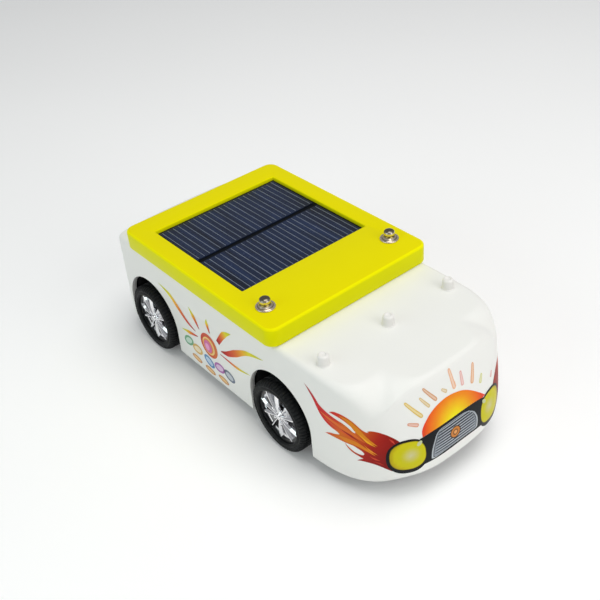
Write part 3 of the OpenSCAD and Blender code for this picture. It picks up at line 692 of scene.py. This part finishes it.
def cover_mesh(centre, first):
    """A plated cover for the left side: rim, five twin spokes, hub and wheel nuts."""
    seat, inside, face, back = COVER_SEAT, RIM_INSIDE, COVER_FACE, COVER_BACK
    middle = (centre[0], 0, centre[2])
    rim = [(1, back), (inside, back), (inside, seat - 1.0), (COVER_R, seat - 1.0), (COVER_R, seat - 0.08)]
    rim += [(inside + 0.5, seat - 0.06), (inside + 0.25, seat - 0.15, 0.2), (inside - 0.1, seat - 0.6, 0.4)]
    rim += [(inside - 1.4, seat - 1.15, 0.8), (5.5, seat - 1.5, 1), (1, seat - 1.55)]
    parts = [lathe(rounded(rim, 0.06, 3, closed=True), 96, middle, "y", closed=True)]
    nut = [(0, back), (0.6, back), (0.6, face + 0.05), (0.45, face + 0.3), (0, face + 0.3)]
    for k in range(SPOKES):
        angle = math.radians(first + 360 / SPOKES * k)
        for lean in SIDES.values():
            parts.append(spoke_bar(centre, angle, inside + 0.05, 9, lambda t: arm_section(lean, t)))
        parts.append(spoke_bar(centre, angle, inside - 0.1, 7, web_section))
        turn = angle + math.radians(180 / SPOKES)
        at = (centre[0] + NUT_AT * math.cos(turn), 0, centre[2] + NUT_AT * math.sin(turn))
        parts.append(lathe(nut, 12, at, "y"))
    hub = [(0, back), (2.1, back), (2.1, face - 0.3, 0.2), (1.7, face + 0.1, 0.2)]
    hub += [(1.3, face + 0.1, 0.15), (1.15, face + 0.7, 0.2), (0, face + 0.85)]
    parts.append(lathe(rounded(hub, 0.1, 3), 48, middle, "y"))
    return parts


FIRST_SPOKE = {"right": 38, "left": 142}


def make_wheels():
    for axle, centre in AXLES.items():
        for word, side in SIDES.items():
            name, body = f"{axle}_{word}", axle + "_wheelset"
            tyre = joined(f"tread_{name}", [mirrored(tyre_mesh(centre), side)], 32)
            place(tyre, "tyre_black", body, [f"tyre_{name}"])
            parts = cover_mesh(centre, FIRST_SPOKE[word])
            cover = joined(f"cover_{name}", [mirrored(p, side) for p in parts], 32)
            place(cover, "cover_chrome", body, [f"wheel_cover_{name}"])


# --- solar module ---

WINDOW, WINDOW_DEPTH, WINDOW_LIP = (54, 56.2), 1.6, 0.45
WINDOW_X = MODULE_LO[0] + 10.6 + WINDOW[0] / 2


def make_module_frame():
    """The yellow tray: soft outer edge, flat top, and a window with a small lip."""
    lo, hi = MODULE_LO, MODULE_HI
    edge, wall, board_z = 1.0, 2, hi[2] - WINDOW_DEPTH

    def tray(inset, z):
        return rect_ring(hi - lo, 4, ((lo[0] + hi[0]) / 2, 0), z, inset)

    def window(inset, z):
        return rect_ring(WINDOW, 0.35, (WINDOW_X, 0), z, inset)

    stack = [tray(wall, lo[2]), tray(0.35, lo[2]), tray(0.1, lo[2] + 0.1), tray(0, lo[2] + 0.4)]
    for a in np.linspace(0, math.pi / 2, 9):
        stack.append(tray(edge * (1 - math.cos(a)), hi[2] - edge + edge * math.sin(a)))
    for a in np.linspace(0, math.pi / 2, 5):
        stack.append(window(-WINDOW_LIP * (1 - math.sin(a)), hi[2] - WINDOW_LIP * (1 - math.cos(a))))
    stack += [window(0, board_z), tray(wall, board_z)]
    piece = mesh_piece("yellow_tray", *rings(stack, closed_stack=True), 30)
    place(piece, "module_yellow", "solar_module", ["module_frame"])


def make_cell_fingers():
    """Fine silver contact lines on each cell, running along the car."""
    lines, half, tall, short = 23, 0.13, 0.03, 0.5
    for cell in ("front", "rear"):
        lo, hi = box_mm("solar_cell_" + cell)
        foot, top = hi[2], hi[2] + tall
        parts = []
        for k in range(lines):
            y = lo[1] + (hi[1] - lo[1]) * (k + 0.5) / lines
            ring = [(y - half, foot), (y - half * 0.6, top), (y + half * 0.6, top), (y + half, foot)]
            parts.append(rings([[(x, py, pz) for py, pz in ring] for x in (lo[0] + short, hi[0] - short)]))
        place(joined("cell_lines_" + cell, parts), "finger", "solar_module")


SNAP_R = 1.95
PEG_SKIRT_R = 2.4


def make_terminal_studs():
    """Nickel-plated snap studs: a shank, a dished flange, a neck and a round head."""
    for word in ("left", "right"):
        lo, hi = box_mm("terminal_stud_" + word)
        centre = ((lo[0] + hi[0]) / 2, (lo[1] + hi[1]) / 2, MODULE_HI[2])
        flange, head, tall = (hi[0] - lo[0]) / 2, SNAP_R, hi[2] - MODULE_HI[2]
        profile = [(0, -3), (1.3, -3), (1.3, 0), (flange - 0.15, 0, 0.1), (flange, 0.2, 0.15)]
        profile += [(flange - 0.12, 0.5, 0.2), (flange - 0.5, 0.42, 0.15), (flange - 0.85, 0.55, 0.3)]
        profile += [(1.85, tall * 0.34, 0.5), (1.6, tall * 0.43, 0.3), (1.62, tall * 0.5, 0.1)]
        profile += [(head, tall * 0.56, 0.15), (head, tall * 0.78, 0.3), (head - 0.25, tall * 0.92, 0.5)]
        profile += [(head - 0.9, tall - 0.02, 0.6), (0, tall)]
        piece = joined("snap_" + word, [lathe(rounded(profile, 0.1, 5), 72, centre)], 28)
        place(piece, "stud_plated", "solar_module", ["terminal_stud_" + word])


def make_hood_pegs():
    """Moulded pegs with soft edges, a small fillet at the bonnet and a shallow dimple on top."""
    lo, hi = box_mm("hood_pegs")
    x = (lo[0] + hi[0]) / 2
    tall, r = hi[2] - DECK_Z, SNAP_R
    profile = [(0, -2.8), (PEG_SKIRT_R, -2.8), (PEG_SKIRT_R, -2), (1.5, -2), (1.5, -0.1), (r + 0.35, 0.0)]
    profile += [(r, 0.35, 0.35), (r - 0.06, tall - 0.55, 0.2), (r - 0.5, tall, 0.45)]
    profile += [(1.0, tall, 0.15), (0.8, tall - 0.35, 0.15), (0, tall - 0.4)]
    parts = []
    for y in (lo[1] + PEG_SKIRT_R, 0, hi[1] - PEG_SKIRT_R):
        parts.append(lathe(rounded(profile, 0.08, 4), 56, (x, y, DECK_Z)))
    place(joined("bonnet_pegs", parts, 30), "peg_white", "chassis", ["hood_pegs"])


# --- printed stickers: thin films that follow the skin ---


def plan_table():
    """Length round the nose from its tip, and the turn of the oval there."""
    turns = np.linspace(0, math.pi / 2, 4000)
    places = [oval(t, (NOSE_E[0] + NOSE_E[1]) / 2) for t in turns]
    x, y = np.array([NOSE_A * u for u, _ in places]), np.array([HALF_W * v for _, v in places])
    return np.concatenate([[0], np.cumsum(np.hypot(np.diff(x), np.diff(y)))]), turns


PLAN_S, PLAN_TURN = plan_table()


def on_skin(s, z):
    """The skin's point at a length s round the nose from its tip (left is positive) and a height z."""
    far = abs(s)
    turn = float(np.interp(far, PLAN_S, PLAN_TURN))
    face = facing(NOSE_A, NOSE_E, turn)
    r, start = edge_radius(face), edge_start(face)
    bend = max(start, math.asin(min(1, max(0, 1 - (DECK_Z - z) / r))))
    inset = skin_lean(face, z) + r * (math.cos(start) - math.cos(bend))
    x, y = placed((NOSE_X, NOSE_A, NOSE_E, turn, face), z, inset)
    return np.array((x - max(0, far - PLAN_S[-1]), math.copysign(y, s), z))


def above_skin(s, z, lift):
    """The point at a small distance straight out from the skin."""
    p, step = on_skin(s, z), 0.05
    along = on_skin(s + step, z) - on_skin(s - step, z)
    up = on_skin(s, z + step) - on_skin(s, z - step)
    n = np.cross(along, up)
    return p + n / np.linalg.norm(n) * lift


def spline(points, steps=8):
    """A smooth line through points."""
    p = np.array(points, float)
    out = []
    for at in np.linspace(0, len(p) - 1, steps * (len(p) - 1) + 1):
        i = min(int(at), len(p) - 2)
        f = at - i
        p0, p1, p2, p3 = p[max(0, i - 1)], p[i], p[i + 1], p[min(len(p) - 1, i + 2)]
        square, cube = 2 * p0 - 5 * p1 + 4 * p2 - p3, 3 * p1 - p0 - 3 * p2 + p3
        out.append(0.5 * (2 * p1 + (p2 - p0) * f + square * f * f + cube * f ** 3))
    return np.array(out)


def outline_of(edges, steps=5):
    """A closed outline from smooth edges that meet at sharp tips."""
    out = []
    for edge in edges:
        out += [tuple(q) for q in spline(edge, steps)[:-1]]
    return out


def stroke(points, widths, steps=10, blunt=False):
    """The outline of a tapered brush stroke through points. Blunt gives it round ends."""
    mid = spline(points, steps)
    t = np.linspace(0, len(points) - 1, len(mid))
    half = np.interp(t, np.arange(len(points)), np.array(widths, float) / 2)
    if blunt:
        reach = np.minimum(1, np.minimum(np.linspace(0, 6, len(t)), np.linspace(6, 0, len(t))))
        half = half * np.sqrt(1 - (1 - reach) ** 2)
    d = np.gradient(mid, axis=0)
    d /= np.linalg.norm(d, axis=1)[:, None]
    n = np.stack([-d[:, 1], d[:, 0]], 1)
    left, right = mid + n * half[:, None], mid - n * half[:, None]
    return [tuple(q) for q in left] + [tuple(q) for q in right[::-1]]


def ellipse(centre, a, b, tilt=0, steps=48, square=2.0):
    """An ellipse's outline. It is squarer with a larger square."""
    c, s = math.cos(math.radians(tilt)), math.sin(math.radians(tilt))
    out = []
    for k in range(steps):
        u, v = oval(math.radians(360 * k / steps), square)
        out.append((centre[0] + a * u * c - b * v * s, centre[1] + a * u * s + b * v * c))
    return out


def filled(outline, cell):
    """Points and triangles inside an outline, with a point in every cell so that the film can bend."""
    ring = [Vector(q) for k, q in enumerate(outline) if (Vector(q) - Vector(outline[k - 1])).length > 1e-4]
    lo = [math.floor(min(v[i] for v in ring) / cell) for i in (0, 1)]
    hi = [math.ceil(max(v[i] for v in ring) / cell) for i in (0, 1)]
    grid = [Vector((i * cell, j * cell)) for i in range(lo[0], hi[0] + 1) for j in range(lo[1], hi[1] + 1)]
    points, _, faces, *_ = delaunay_2d_cdt(ring + grid, [], [list(range(len(ring)))], 1, 1e-5)
    used = sorted({i for face in faces for i in face})
    where = {old: new for new, old in enumerate(used)}
    return [points[i] for i in used], [tuple(where[i] for i in face) for face in faces]


FILM_LIFT, LAYER_LIFT = 0.03, 0.012


def film(name, shapes, to_space, cell=1.0):
    """One object of printed shapes. A shape is (outline, colour rule, layer); later layers lie higher."""
    points, faces, inks = [], [], []
    for outline, rule, layer in shapes:
        places, triangles = filled(outline, cell)
        base = len(points)
        for x, y in places:
            points.append(to_space(x, y, FILM_LIFT + LAYER_LIFT * layer))
            inks.append(rule(x, y) if callable(rule) else rule)
        faces += [tuple(base + i for i in face) for face in triangles]
    mesh = bpy.data.meshes.new(name)
    mesh.from_pydata([tuple(np.asarray(p) * MM) for p in points], [], faces)
    colours = mesh.color_attributes.new("ink", "FLOAT_COLOR", "POINT")
    colours.data.foreach_set("color", np.array([(*linear(*c), 1) for c in inks], np.float32).ravel())
    place(finish_mesh(link(name, mesh), 60), "ink", "chassis")


def blend_colours(t, stops):
    """The colour at t between the stops, which are pairs of a place and a colour in 0 to 255."""
    at = [s[0] for s in stops]
    return tuple(float(np.interp(t, at, [s[1][i] for s in stops])) for i in range(3))


def along_axis(start, end, stops):
    """A colour rule that changes from start to end."""
    a, d = np.array(start, float), np.array(end, float) - np.array(start, float)
    return lambda x, y: blend_colours(((np.array((x, y)) - a) @ d) / (d @ d), stops)


def from_point(centre, radius, stops):
    """A colour rule that changes outwards from a centre."""
    return lambda x, y: blend_colours(math.hypot(x - centre[0], y - centre[1]) / radius, stops)


PRINT_S = -2.9


def nose_map(side):
    """The front print's own place: u runs out from its middle, a little to the right of the nose's tip."""
    return lambda u, z, lift: above_skin(u * side + PRINT_S, z, lift)


def side_map(side):
    """The side print's own place, on the flat side of the body."""
    return lambda x, z, lift: np.array((x, side * (HALF_W + lift), z))


# Places in the front print are (u, z): u is the length out from the print's middle.
# The flame's edges run from tip to tip, and each begins where the one before ends.
LAMP = (18.65, 19.9)
FLAME_EDGES = [
    [(54.3, 37), (51.7, 34.9), (49.9, 33.1), (47.1, 31.9), (43.1, 31), (40.1, 30.5), (38.1, 29.7),
     (36.4, 28.6), (35.4, 28.4)],
    [(35.6, 29.3), (36.7, 30.4), (38.1, 31.2), (40.1, 32), (42.6, 32.4), (45.6, 32.5)],
    [(44.1, 33.6), (42.1, 34.1), (40.1, 34.1), (38.1, 33.7), (36.1, 32.8), (34.6, 31.7), (33.1, 30.6),
     (31.6, 29.9)],
    [(30.6, 30.1), (28.9, 29.9), (27.6, 29.2), (26.3, 28.3), (25.2, 27), (25.6, 26.6)],
    [(27.1, 27.4), (28.6, 28.3), (30.1, 29.6), (31.4, 30.4)],
    [(30.1, 30.8), (28.1, 30.6), (26.6, 30.1), (25.1, 29.4), (23.1, 28.1), (21.7, 26.9), (20.4, 25.4)],
    [(19, 20), (23.8, 14)],
    [(25.6, 15.1), (27.1, 15.9), (29.1, 16.6), (31.1, 16.8), (33.1, 16.7), (34.6, 16.3)],
    [(33.7, 17.2), (32.5, 18)],
    [(33.6, 18.4), (35.1, 18.9), (36.6, 19.6), (38.1, 20.8), (39.1, 22.3)],
    [(37.3, 20.9), (35.6, 19.9), (33.9, 19.5), (32.7, 19.6), (32.3, 20.3), (33.1, 21.3), (34.6, 22),
     (36.1, 22.5), (37.7, 22.5), (38.9, 22.45)],
    [(41.1, 22.5), (44.1, 22.4), (47, 22.2)],
    [(45.1, 23.3), (43.1, 24), (41.7, 24.6), (41.1, 25)],
    [(42.3, 25.7), (44.1, 26.1), (46.1, 26.8), (48.1, 28), (49.6, 29.5), (51.1, 31.5), (52.6, 33.8),
     (54.6, 36.1), (56.7, 38.3)],
]
FLAME_STREAKS = [
    ([(49.5, 30.6), (46, 29.6), (41, 28.7), (36, 27.4), (32, 25.4)], [0, 1, 1.4, 1.1, 0], (222, 108, 34)),
    ([(47.6, 28.9), (43.5, 27.6), (39, 26.7), (35, 25)], [0, 0.8, 0.9, 0], (214, 84, 30)),
    ([(41, 27.8), (37, 26.6), (33.6, 25.2)], [0, 0.9, 0], (158, 26, 14)),
    ([(41.5, 33.3), (38, 32.4), (35, 30), (31.6, 27), (28, 24.8)], [0, 1.3, 2.1, 1.5, 0], (220, 134, 16)),
    ([(34.2, 28.6), (31.4, 26), (28.6, 24.4)], [0, 0.8, 0], (240, 172, 30)),
    ([(42.2, 24.3), (38.6, 23.9), (35, 23.8), (31.6, 22.4), (28.6, 20.4)],
     [0, 1.8, 1.7, 1.1, 0], (220, 130, 18)),
    ([(32.4, 24.2), (30, 22.2), (28, 21)], [0, 0.6, 0], (236, 150, 40)),
    ([(30.6, 20), (28.8, 19), (27.2, 18.6)], [0, 0.7, 0], (206, 72, 46)),
    ([(29.8, 17.8), (27.6, 17.4), (26, 16.6)], [0, 0.5, 0], (190, 52, 36)),
    ([(24.4, 27.8), (23.4, 26.8), (22.6, 25.6)], [0, 0.7, 0], (206, 66, 50)),
]


def flame_shapes():
    """One flame with its tongues, darker by the lamp and paler at the tip, with brush streaks inside it."""
    stops = [(0, (132, 14, 8)), (0.18, (164, 26, 12)), (0.34, (206, 88, 10)), (0.5, (214, 104, 14))]
    stops += [(0.62, (208, 40, 26)), (0.85, (204, 26, 34)), (1, (170, 70, 76))]
    edges = [[FLAME_EDGES[k - 1][-1], *edge] for k, edge in enumerate(FLAME_EDGES)]
    shapes = [(outline_of(edges), along_axis((24, 20), (56, 37), stops), 0)]
    shapes += [(stroke(p, w), colour, 1 + k * 0.1) for k, (p, w, colour) in enumerate(FLAME_STREAKS)]
    return shapes


def lamp_shapes():
    """A yellow lamp with a dark surround and a small painted highlight."""
    u, z = LAMP
    stops = [(0, (206, 200, 160)), (0.3, (204, 196, 96)), (0.55, (204, 198, 12)), (0.85, (206, 196, 10))]
    glow = from_point((u - 0.9, z + 0.2), 6.4, stops + [(1, (186, 164, 10))])
    return [
        (ellipse((u + 0.2, z - 0.45), 6.75, 7, square=2.3), (14, 16, 20), 2),
        (ellipse(LAMP, 5.95, 5.75, square=2.5), (120, 104, 16), 3),
        (ellipse(LAMP, 5.75, 5.55, square=2.5), glow, 4),
        # Painted highlight: a small pale spot near the top of the lamp.
        (ellipse((u - 4, z + 4), 1.1, 0.7, -40), (196, 202, 160), 5),
    ]


def make_corner_stickers():
    for word, side in SIDES.items():
        film("flames_" + word, flame_shapes(), nose_map(side), cell=0.8)
        film("lamp_" + word, lamp_shapes(), nose_map(side))


BAND_TOP = [(-14.4, 25.4), (-10, 26.1), (-5, 26.4), (1, 26.5), (6, 26.5), (11, 26.2), (14, 25.6),
            (16.4, 24.9)]
BAND_FOOT = [(17, 14.4), (13.6, 15), (8, 15.3), (2, 15.3), (-4, 15.1), (-10.6, 14.7), (-16, 14.3)]
SUN_RISE = [(-13.3, 25.6), (-13.35, 27.5), (-12.7, 29.1), (-11.5, 30.6), (-9.6, 32.3), (-7.1, 33.6),
            (-4.6, 34.3), (-2.1, 34.6), (0.4, 34.5), (2.9, 34), (5.4, 33.2), (7.9, 31.9), (10.4, 30.2),
            (12.4, 28.6), (14.2, 27.1), (15.8, 25.6)]
PANEL = [(-11, 15.6), (-10.7, 18.2), (-9.9, 20.7), (-9.1, 22.4), (-8.2, 24.1), (-7, 25), (-5.2, 25.4),
         (-0.6, 25.5), (4, 25.4), (6.1, 25), (7.7, 24.3), (9.2, 23.3), (10.2, 21.9), (10.9, 20.2),
         (11.1, 18.2), (10.9, 16.3)]
PANEL_FOOT = [(10.9, 16.3), (9.4, 16), (6.1, 16.15), (1.9, 16.1), (-2.3, 16.1), (-6.4, 15.8), (-9.8, 15.3),
              (-11, 15.6)]
PANEL_MID = (0, 20.4)
# Each row of the panel's ribs is where it starts, where it ends, and its height.
ROWS = [
    (-10.6, 10.5, 17), (-10.4, 10.6, 18.05), (-10.2, 10.6, 19.1), (-9.8, 10.5, 20.15),
    (-9.4, 10.2, 21.2), (-8.9, 9.8, 22.25), (-8.4, 9.1, 23.3), (-7.5, 7.9, 24.3),
]
BADGE_AT = (-0.2, 20.6)
BADGE_RINGS = [(2.5, 2.3, (74, 54, 40)), (2.1, 1.9, (204, 128, 56)), (1.2, 1.1, (120, 76, 40)),
               (0.75, 0.7, (226, 160, 92))]


def shrunk(outline, share, centre):
    """The outline drawn smaller about a centre."""
    return [(centre[0] + (x - centre[0]) * share, centre[1] + (z - centre[1]) * share) for x, z in outline]


def make_front_stickers():
    """The rising sun, the dark band, and a ribbed panel with a plain round badge."""
    down = ((0, 26), (0, 15))
    heat = [(0, (244, 232, 12)), (0.2, (244, 226, 10)), (0.42, (242, 186, 16)), (0.62, (240, 140, 20))]
    heat += [(0.85, (236, 96, 26)), (0.95, (226, 62, 34)), (1, (232, 84, 66))]
    band = outline_of([BAND_TOP, [BAND_TOP[-1], BAND_FOOT[0]], BAND_FOOT, [BAND_FOOT[-1], BAND_TOP[0]]])
    panel = outline_of([PANEL, PANEL_FOOT], 4)
    edge = along_axis(*down, [(0, (150, 158, 166)), (0.5, (176, 182, 188)), (1, (196, 202, 206))])
    silver = along_axis(*down, [(0, (84, 92, 100)), (0.5, (122, 130, 138)), (1, (150, 158, 166))])
    sun = outline_of([SUN_RISE, BAND_TOP[::-1][1:-1]])
    shapes = [(sun, from_point((0.4, 24.6), 14.4, heat), 0), (band, (13, 17, 23), 1), (panel, edge, 2)]
    shapes.append((shrunk(panel, 0.94, PANEL_MID), (40, 46, 54), 3))
    shapes.append((shrunk(panel, 0.915, PANEL_MID), silver, 4))
    for left, right, z in ROWS:
        line = [(left * 0.9, z - 0.1), (left / 2, z), (0, z + 0.05), (right / 2, z + 0.05), (right * 0.9, z)]
        shapes.append((stroke(line, [0.2, 0.42, 0.42, 0.42, 0.2]), (34, 40, 48), 5))
        glint = [(u, v + 0.48) for u, v in line]
        shapes.append((stroke(glint, [0.1, 0.24, 0.24, 0.24, 0.1]), (200, 206, 212), 5.2))
    shapes += [(ellipse(BADGE_AT, a, b), colour, 6 + k) for k, (a, b, colour) in enumerate(BADGE_RINGS)]
    film("front_print", shapes, nose_map(1), cell=0.9)


# Each ray is its outer end, its inner end, its width and its colour.
FRONT_RAYS = [
    ((-18.5, 39.2), (-12.2, 32.6), 1.4, (222, 190, 96)),
    ((-18.1, 31.9), (-14.1, 30.4), 1.35, (224, 160, 132)),
    ((-12.5, 39.1), (-8.9, 34.8), 1.15, (216, 188, 128)),
    ((-10.6, 41.5), (-5.5, 35.6), 1.35, (212, 158, 116)),
    ((-2.9, 38), (-0.8, 36.2), 1.2, (216, 192, 146)),
    ((1.8, 42.8), (2.4, 35.4), 1.4, (236, 182, 146)),
    ((5.8, 39.8), (5.7, 34.7), 1.3, (230, 176, 168)),
    ((12.1, 39.7), (9.8, 33.2), 1.6, (230, 172, 128)),
    ((15.3, 34.1), (13.7, 31.2), 1.4, (214, 214, 146)),
    ((21.6, 31.4), (20.2, 29.6), 1.1, (228, 176, 170)),
]


def make_front_rays():
    """Short rounded rays above the rising sun: an outline and a paler middle."""
    shapes = []
    for a, b, width, colour in FRONT_RAYS:
        pale = tuple(c + (250 - c) * 0.4 for c in colour)
        a, b = np.array(a), np.array(b)
        inner = (b - a) / np.linalg.norm(b - a) * 0.35
        taper = [width * 0.7, width * 0.85, width, width]
        between = [a * 0.67 + b * 0.33, a * 0.33 + b * 0.67]
        line, short = [a, *between, b], [a + inner, *between, b - inner]
        shapes.append((stroke(line, taper, 8, True), colour, 0))
        shapes.append((stroke(short, [w * 0.45 for w in taper], 8, True), pale, 1))
    film("front_rays", shapes, nose_map(1))


# Places in the side print are (x, z) in the CAD frame. Each ray is its line and the widths along it.
SUN_AT = (-13.4, 21.3)
SIDE_RAYS = [
    ([(-43.5, 34.5), (-36.5, 32.6), (-31.5, 29), (-26.5, 25.3), (-21.5, 23.4)], [0, 1.9, 2.2, 1.5, 0.3]),
    ([(-24, 33.6), (-21.4, 30.4), (-18.6, 26)], [0, 2.3, 0.4]),
    ([(-12.4, 34), (-12.6, 31.6), (-11.6, 28)], [0, 2, 0.5]),
    ([(2.5, 35.5), (-2.2, 32.6), (-7, 26.4)], [0, 2.6, 2]),
    ([(20.5, 34.5), (11, 32), (3.6, 27.6), (-1.6, 24.4), (-5.6, 23.2)], [0, 1.9, 2.9, 2.1, 0.4]),
    ([(11.5, 22.4), (3.6, 21), (-6.4, 21.4)], [0, 1.3, 0.3]),
    ([(-31.5, 19.6), (-26.4, 20.4), (-20.4, 21.6)], [0, 1.7, 0.3]),
]
# The rays run from lime and lemon at the tip through gold, orange and red to wine at the sun.
RAY_COLOURS = [
    (0, (196, 206, 30)), (0.3, (226, 216, 24)), (0.45, (236, 170, 24)),
    (0.62, (224, 110, 24)), (0.85, (200, 44, 30)), (1, (150, 18, 22)),
]
LEAVES = [
    ((-27.6, 15.8), (112, 168, 130), 28),
    ((-22.2, 14.6), (214, 176, 96), 8),
    ((-15, 13), (92, 140, 190), -24),
    ((-8.4, 13.8), (176, 110, 176), 12),
    ((-2.4, 13.4), (110, 122, 140), -16),
]
BEADS = [(-23.6, 9.4), (-15.2, 8.6), (-6.8, 9)]


def sun_shapes():
    """The side sun: rings that sit a little further back and lower, one inside the other."""
    x, z = SUN_AT
    hot = along_axis((x - 5, z), (x + 5, z), [(0, (198, 62, 40)), (0.5, (206, 84, 48)), (1, (216, 118, 56))])
    return [
        (ellipse(SUN_AT, 5.2, 5.3), hot, 1),
        (ellipse((x - 0.3, z - 0.3), 3.7, 3.9), (240, 206, 128), 2),
        (ellipse((x - 0.6, z - 0.5), 3, 3.2), (222, 130, 74), 3),
        (ellipse((x - 0.8, z - 0.7), 2.4, 2.7), (212, 110, 166), 4),
        (ellipse((x - 1.2, z - 1.1), 1.3, 1.6), (232, 164, 206), 5),
    ]


def ray_shapes():
    shapes = []
    for k, (points, widths) in enumerate(SIDE_RAYS):
        shapes.append((stroke(points, widths), along_axis(points[0], points[-1], RAY_COLOURS), 0.1 * k))
    return shapes


def leaf_shapes():
    """Plain leaves and beads under the sun."""
    shapes = []
    for centre, colour, tilt in LEAVES:
        pale = tuple(c + (255 - c) * 0.6 for c in colour)
        shapes.append((ellipse(centre, 3.3, 2.2, tilt, 32), colour, 1))
        shapes.append((ellipse(centre, 2.3, 1.3, tilt, 32), pale, 2))
    for centre in BEADS:
        shapes.append((ellipse(centre, 3.2, 1.3, -6, 32), (206, 150, 96), 1))
        shapes.append((ellipse(centre, 2.4, 0.7, -6, 32), (236, 196, 140), 2))
    return shapes


def make_side_stickers():
    for word, side in SIDES.items():
        to_space = side_map(side)
        film("side_sun_" + word, ray_shapes() + sun_shapes(), to_space, cell=0.8)
        film("side_leaves_" + word, leaf_shapes(), to_space, cell=1.5)


# --- studio ---

CAMERA_AT = Vector((215.2, -162.8, 228.7)) * MM
CAMERA_BACK = Vector((0.6450, -0.4843, 0.5912)).normalized()
CAMERA_ROLL = math.radians(-5.25)
LENS_MM = 55.1


def make_camera():
    data = bpy.data.cameras.new("camera")
    data.lens, data.sensor_width, data.sensor_fit = LENS_MM, 36, "HORIZONTAL"
    data.clip_start, data.clip_end = 0.01, 20
    right = Vector((0, 0, 1)).cross(CAMERA_BACK).normalized()
    up = CAMERA_BACK.cross(right)
    c, s = math.cos(CAMERA_ROLL), math.sin(CAMERA_ROLL)
    across, top = right * c + up * s, up * c - right * s
    cam = link("camera", data)
    turned = Matrix((across, top, CAMERA_BACK)).transposed().to_4x4()
    cam.matrix_world = Matrix.Translation(CAMERA_AT) @ turned
    bpy.context.scene.camera = cam


# Each light is its place and size in metres, its watts and its colour.
LIGHTS = {
    "top": ((0.1, 0.05, 0.75), (0.6, 0.5), 2.85, (1, 0.985, 0.965)),
    "front": ((0.62, 0.12, 0.4), (0.45, 0.45), 1.5, (1, 0.99, 0.97)),
    "side": ((-0.1, -0.65, 0.35), (0.6, 0.35), 0.95, (0.84, 1, 0.96)),
}
LIGHTS_TARGET = Vector((0, 0, 0.02))
FLOOR_HALF = 3000


def area_light(name, at, size, watts, colour):
    data = bpy.data.lights.new(name, "AREA")
    data.shape, data.size, data.size_y = "RECTANGLE", *size
    data.energy, data.color = watts, colour
    obj = link(name, data)
    obj.location = at
    obj.rotation_euler = (LIGHTS_TARGET - Vector(at)).to_track_quat("-Z", "Y").to_euler()


def make_studio():
    world = bpy.data.worlds.new("studio")
    bpy.context.scene.world = world
    world.use_nodes = True
    sky = world.node_tree.nodes["Background"]
    sky.inputs["Color"].default_value = (0.96, 0.98, 1, 1)
    sky.inputs["Strength"].default_value = 0.36
    for name, values in LIGHTS.items():
        area_light(name, *values)
    corners = [(FLOOR_HALF * x, FLOOR_HALF * y, 0) for x, y in ((-1, -1), (1, -1), (1, 1), (-1, 1))]
    floor = mesh_piece("floor", corners, [(0, 1, 2, 3)])
    look = Look("floor_pale", (0.9, 0.9, 0.9), 0.6)
    look.tint(look.noise(0.004, 2), (0.93, 0.93, 0.93), (0.95, 0.95, 0.95))
    look.set("Emission Color", (1, 1, 1, 1))
    look.set("Emission Strength", 0.08)
    floor.data.materials.append(look.material)
    bpy.context.scene.view_settings.view_transform = "Standard"


make_camera()
make_studio()
dress_cad_nodes()
make_body_shell()
make_wheels()
make_module_frame()
make_cell_fingers()
make_terminal_studs()
make_hood_pegs()
make_corner_stickers()
make_front_stickers()
make_front_rays()
make_side_stickers()
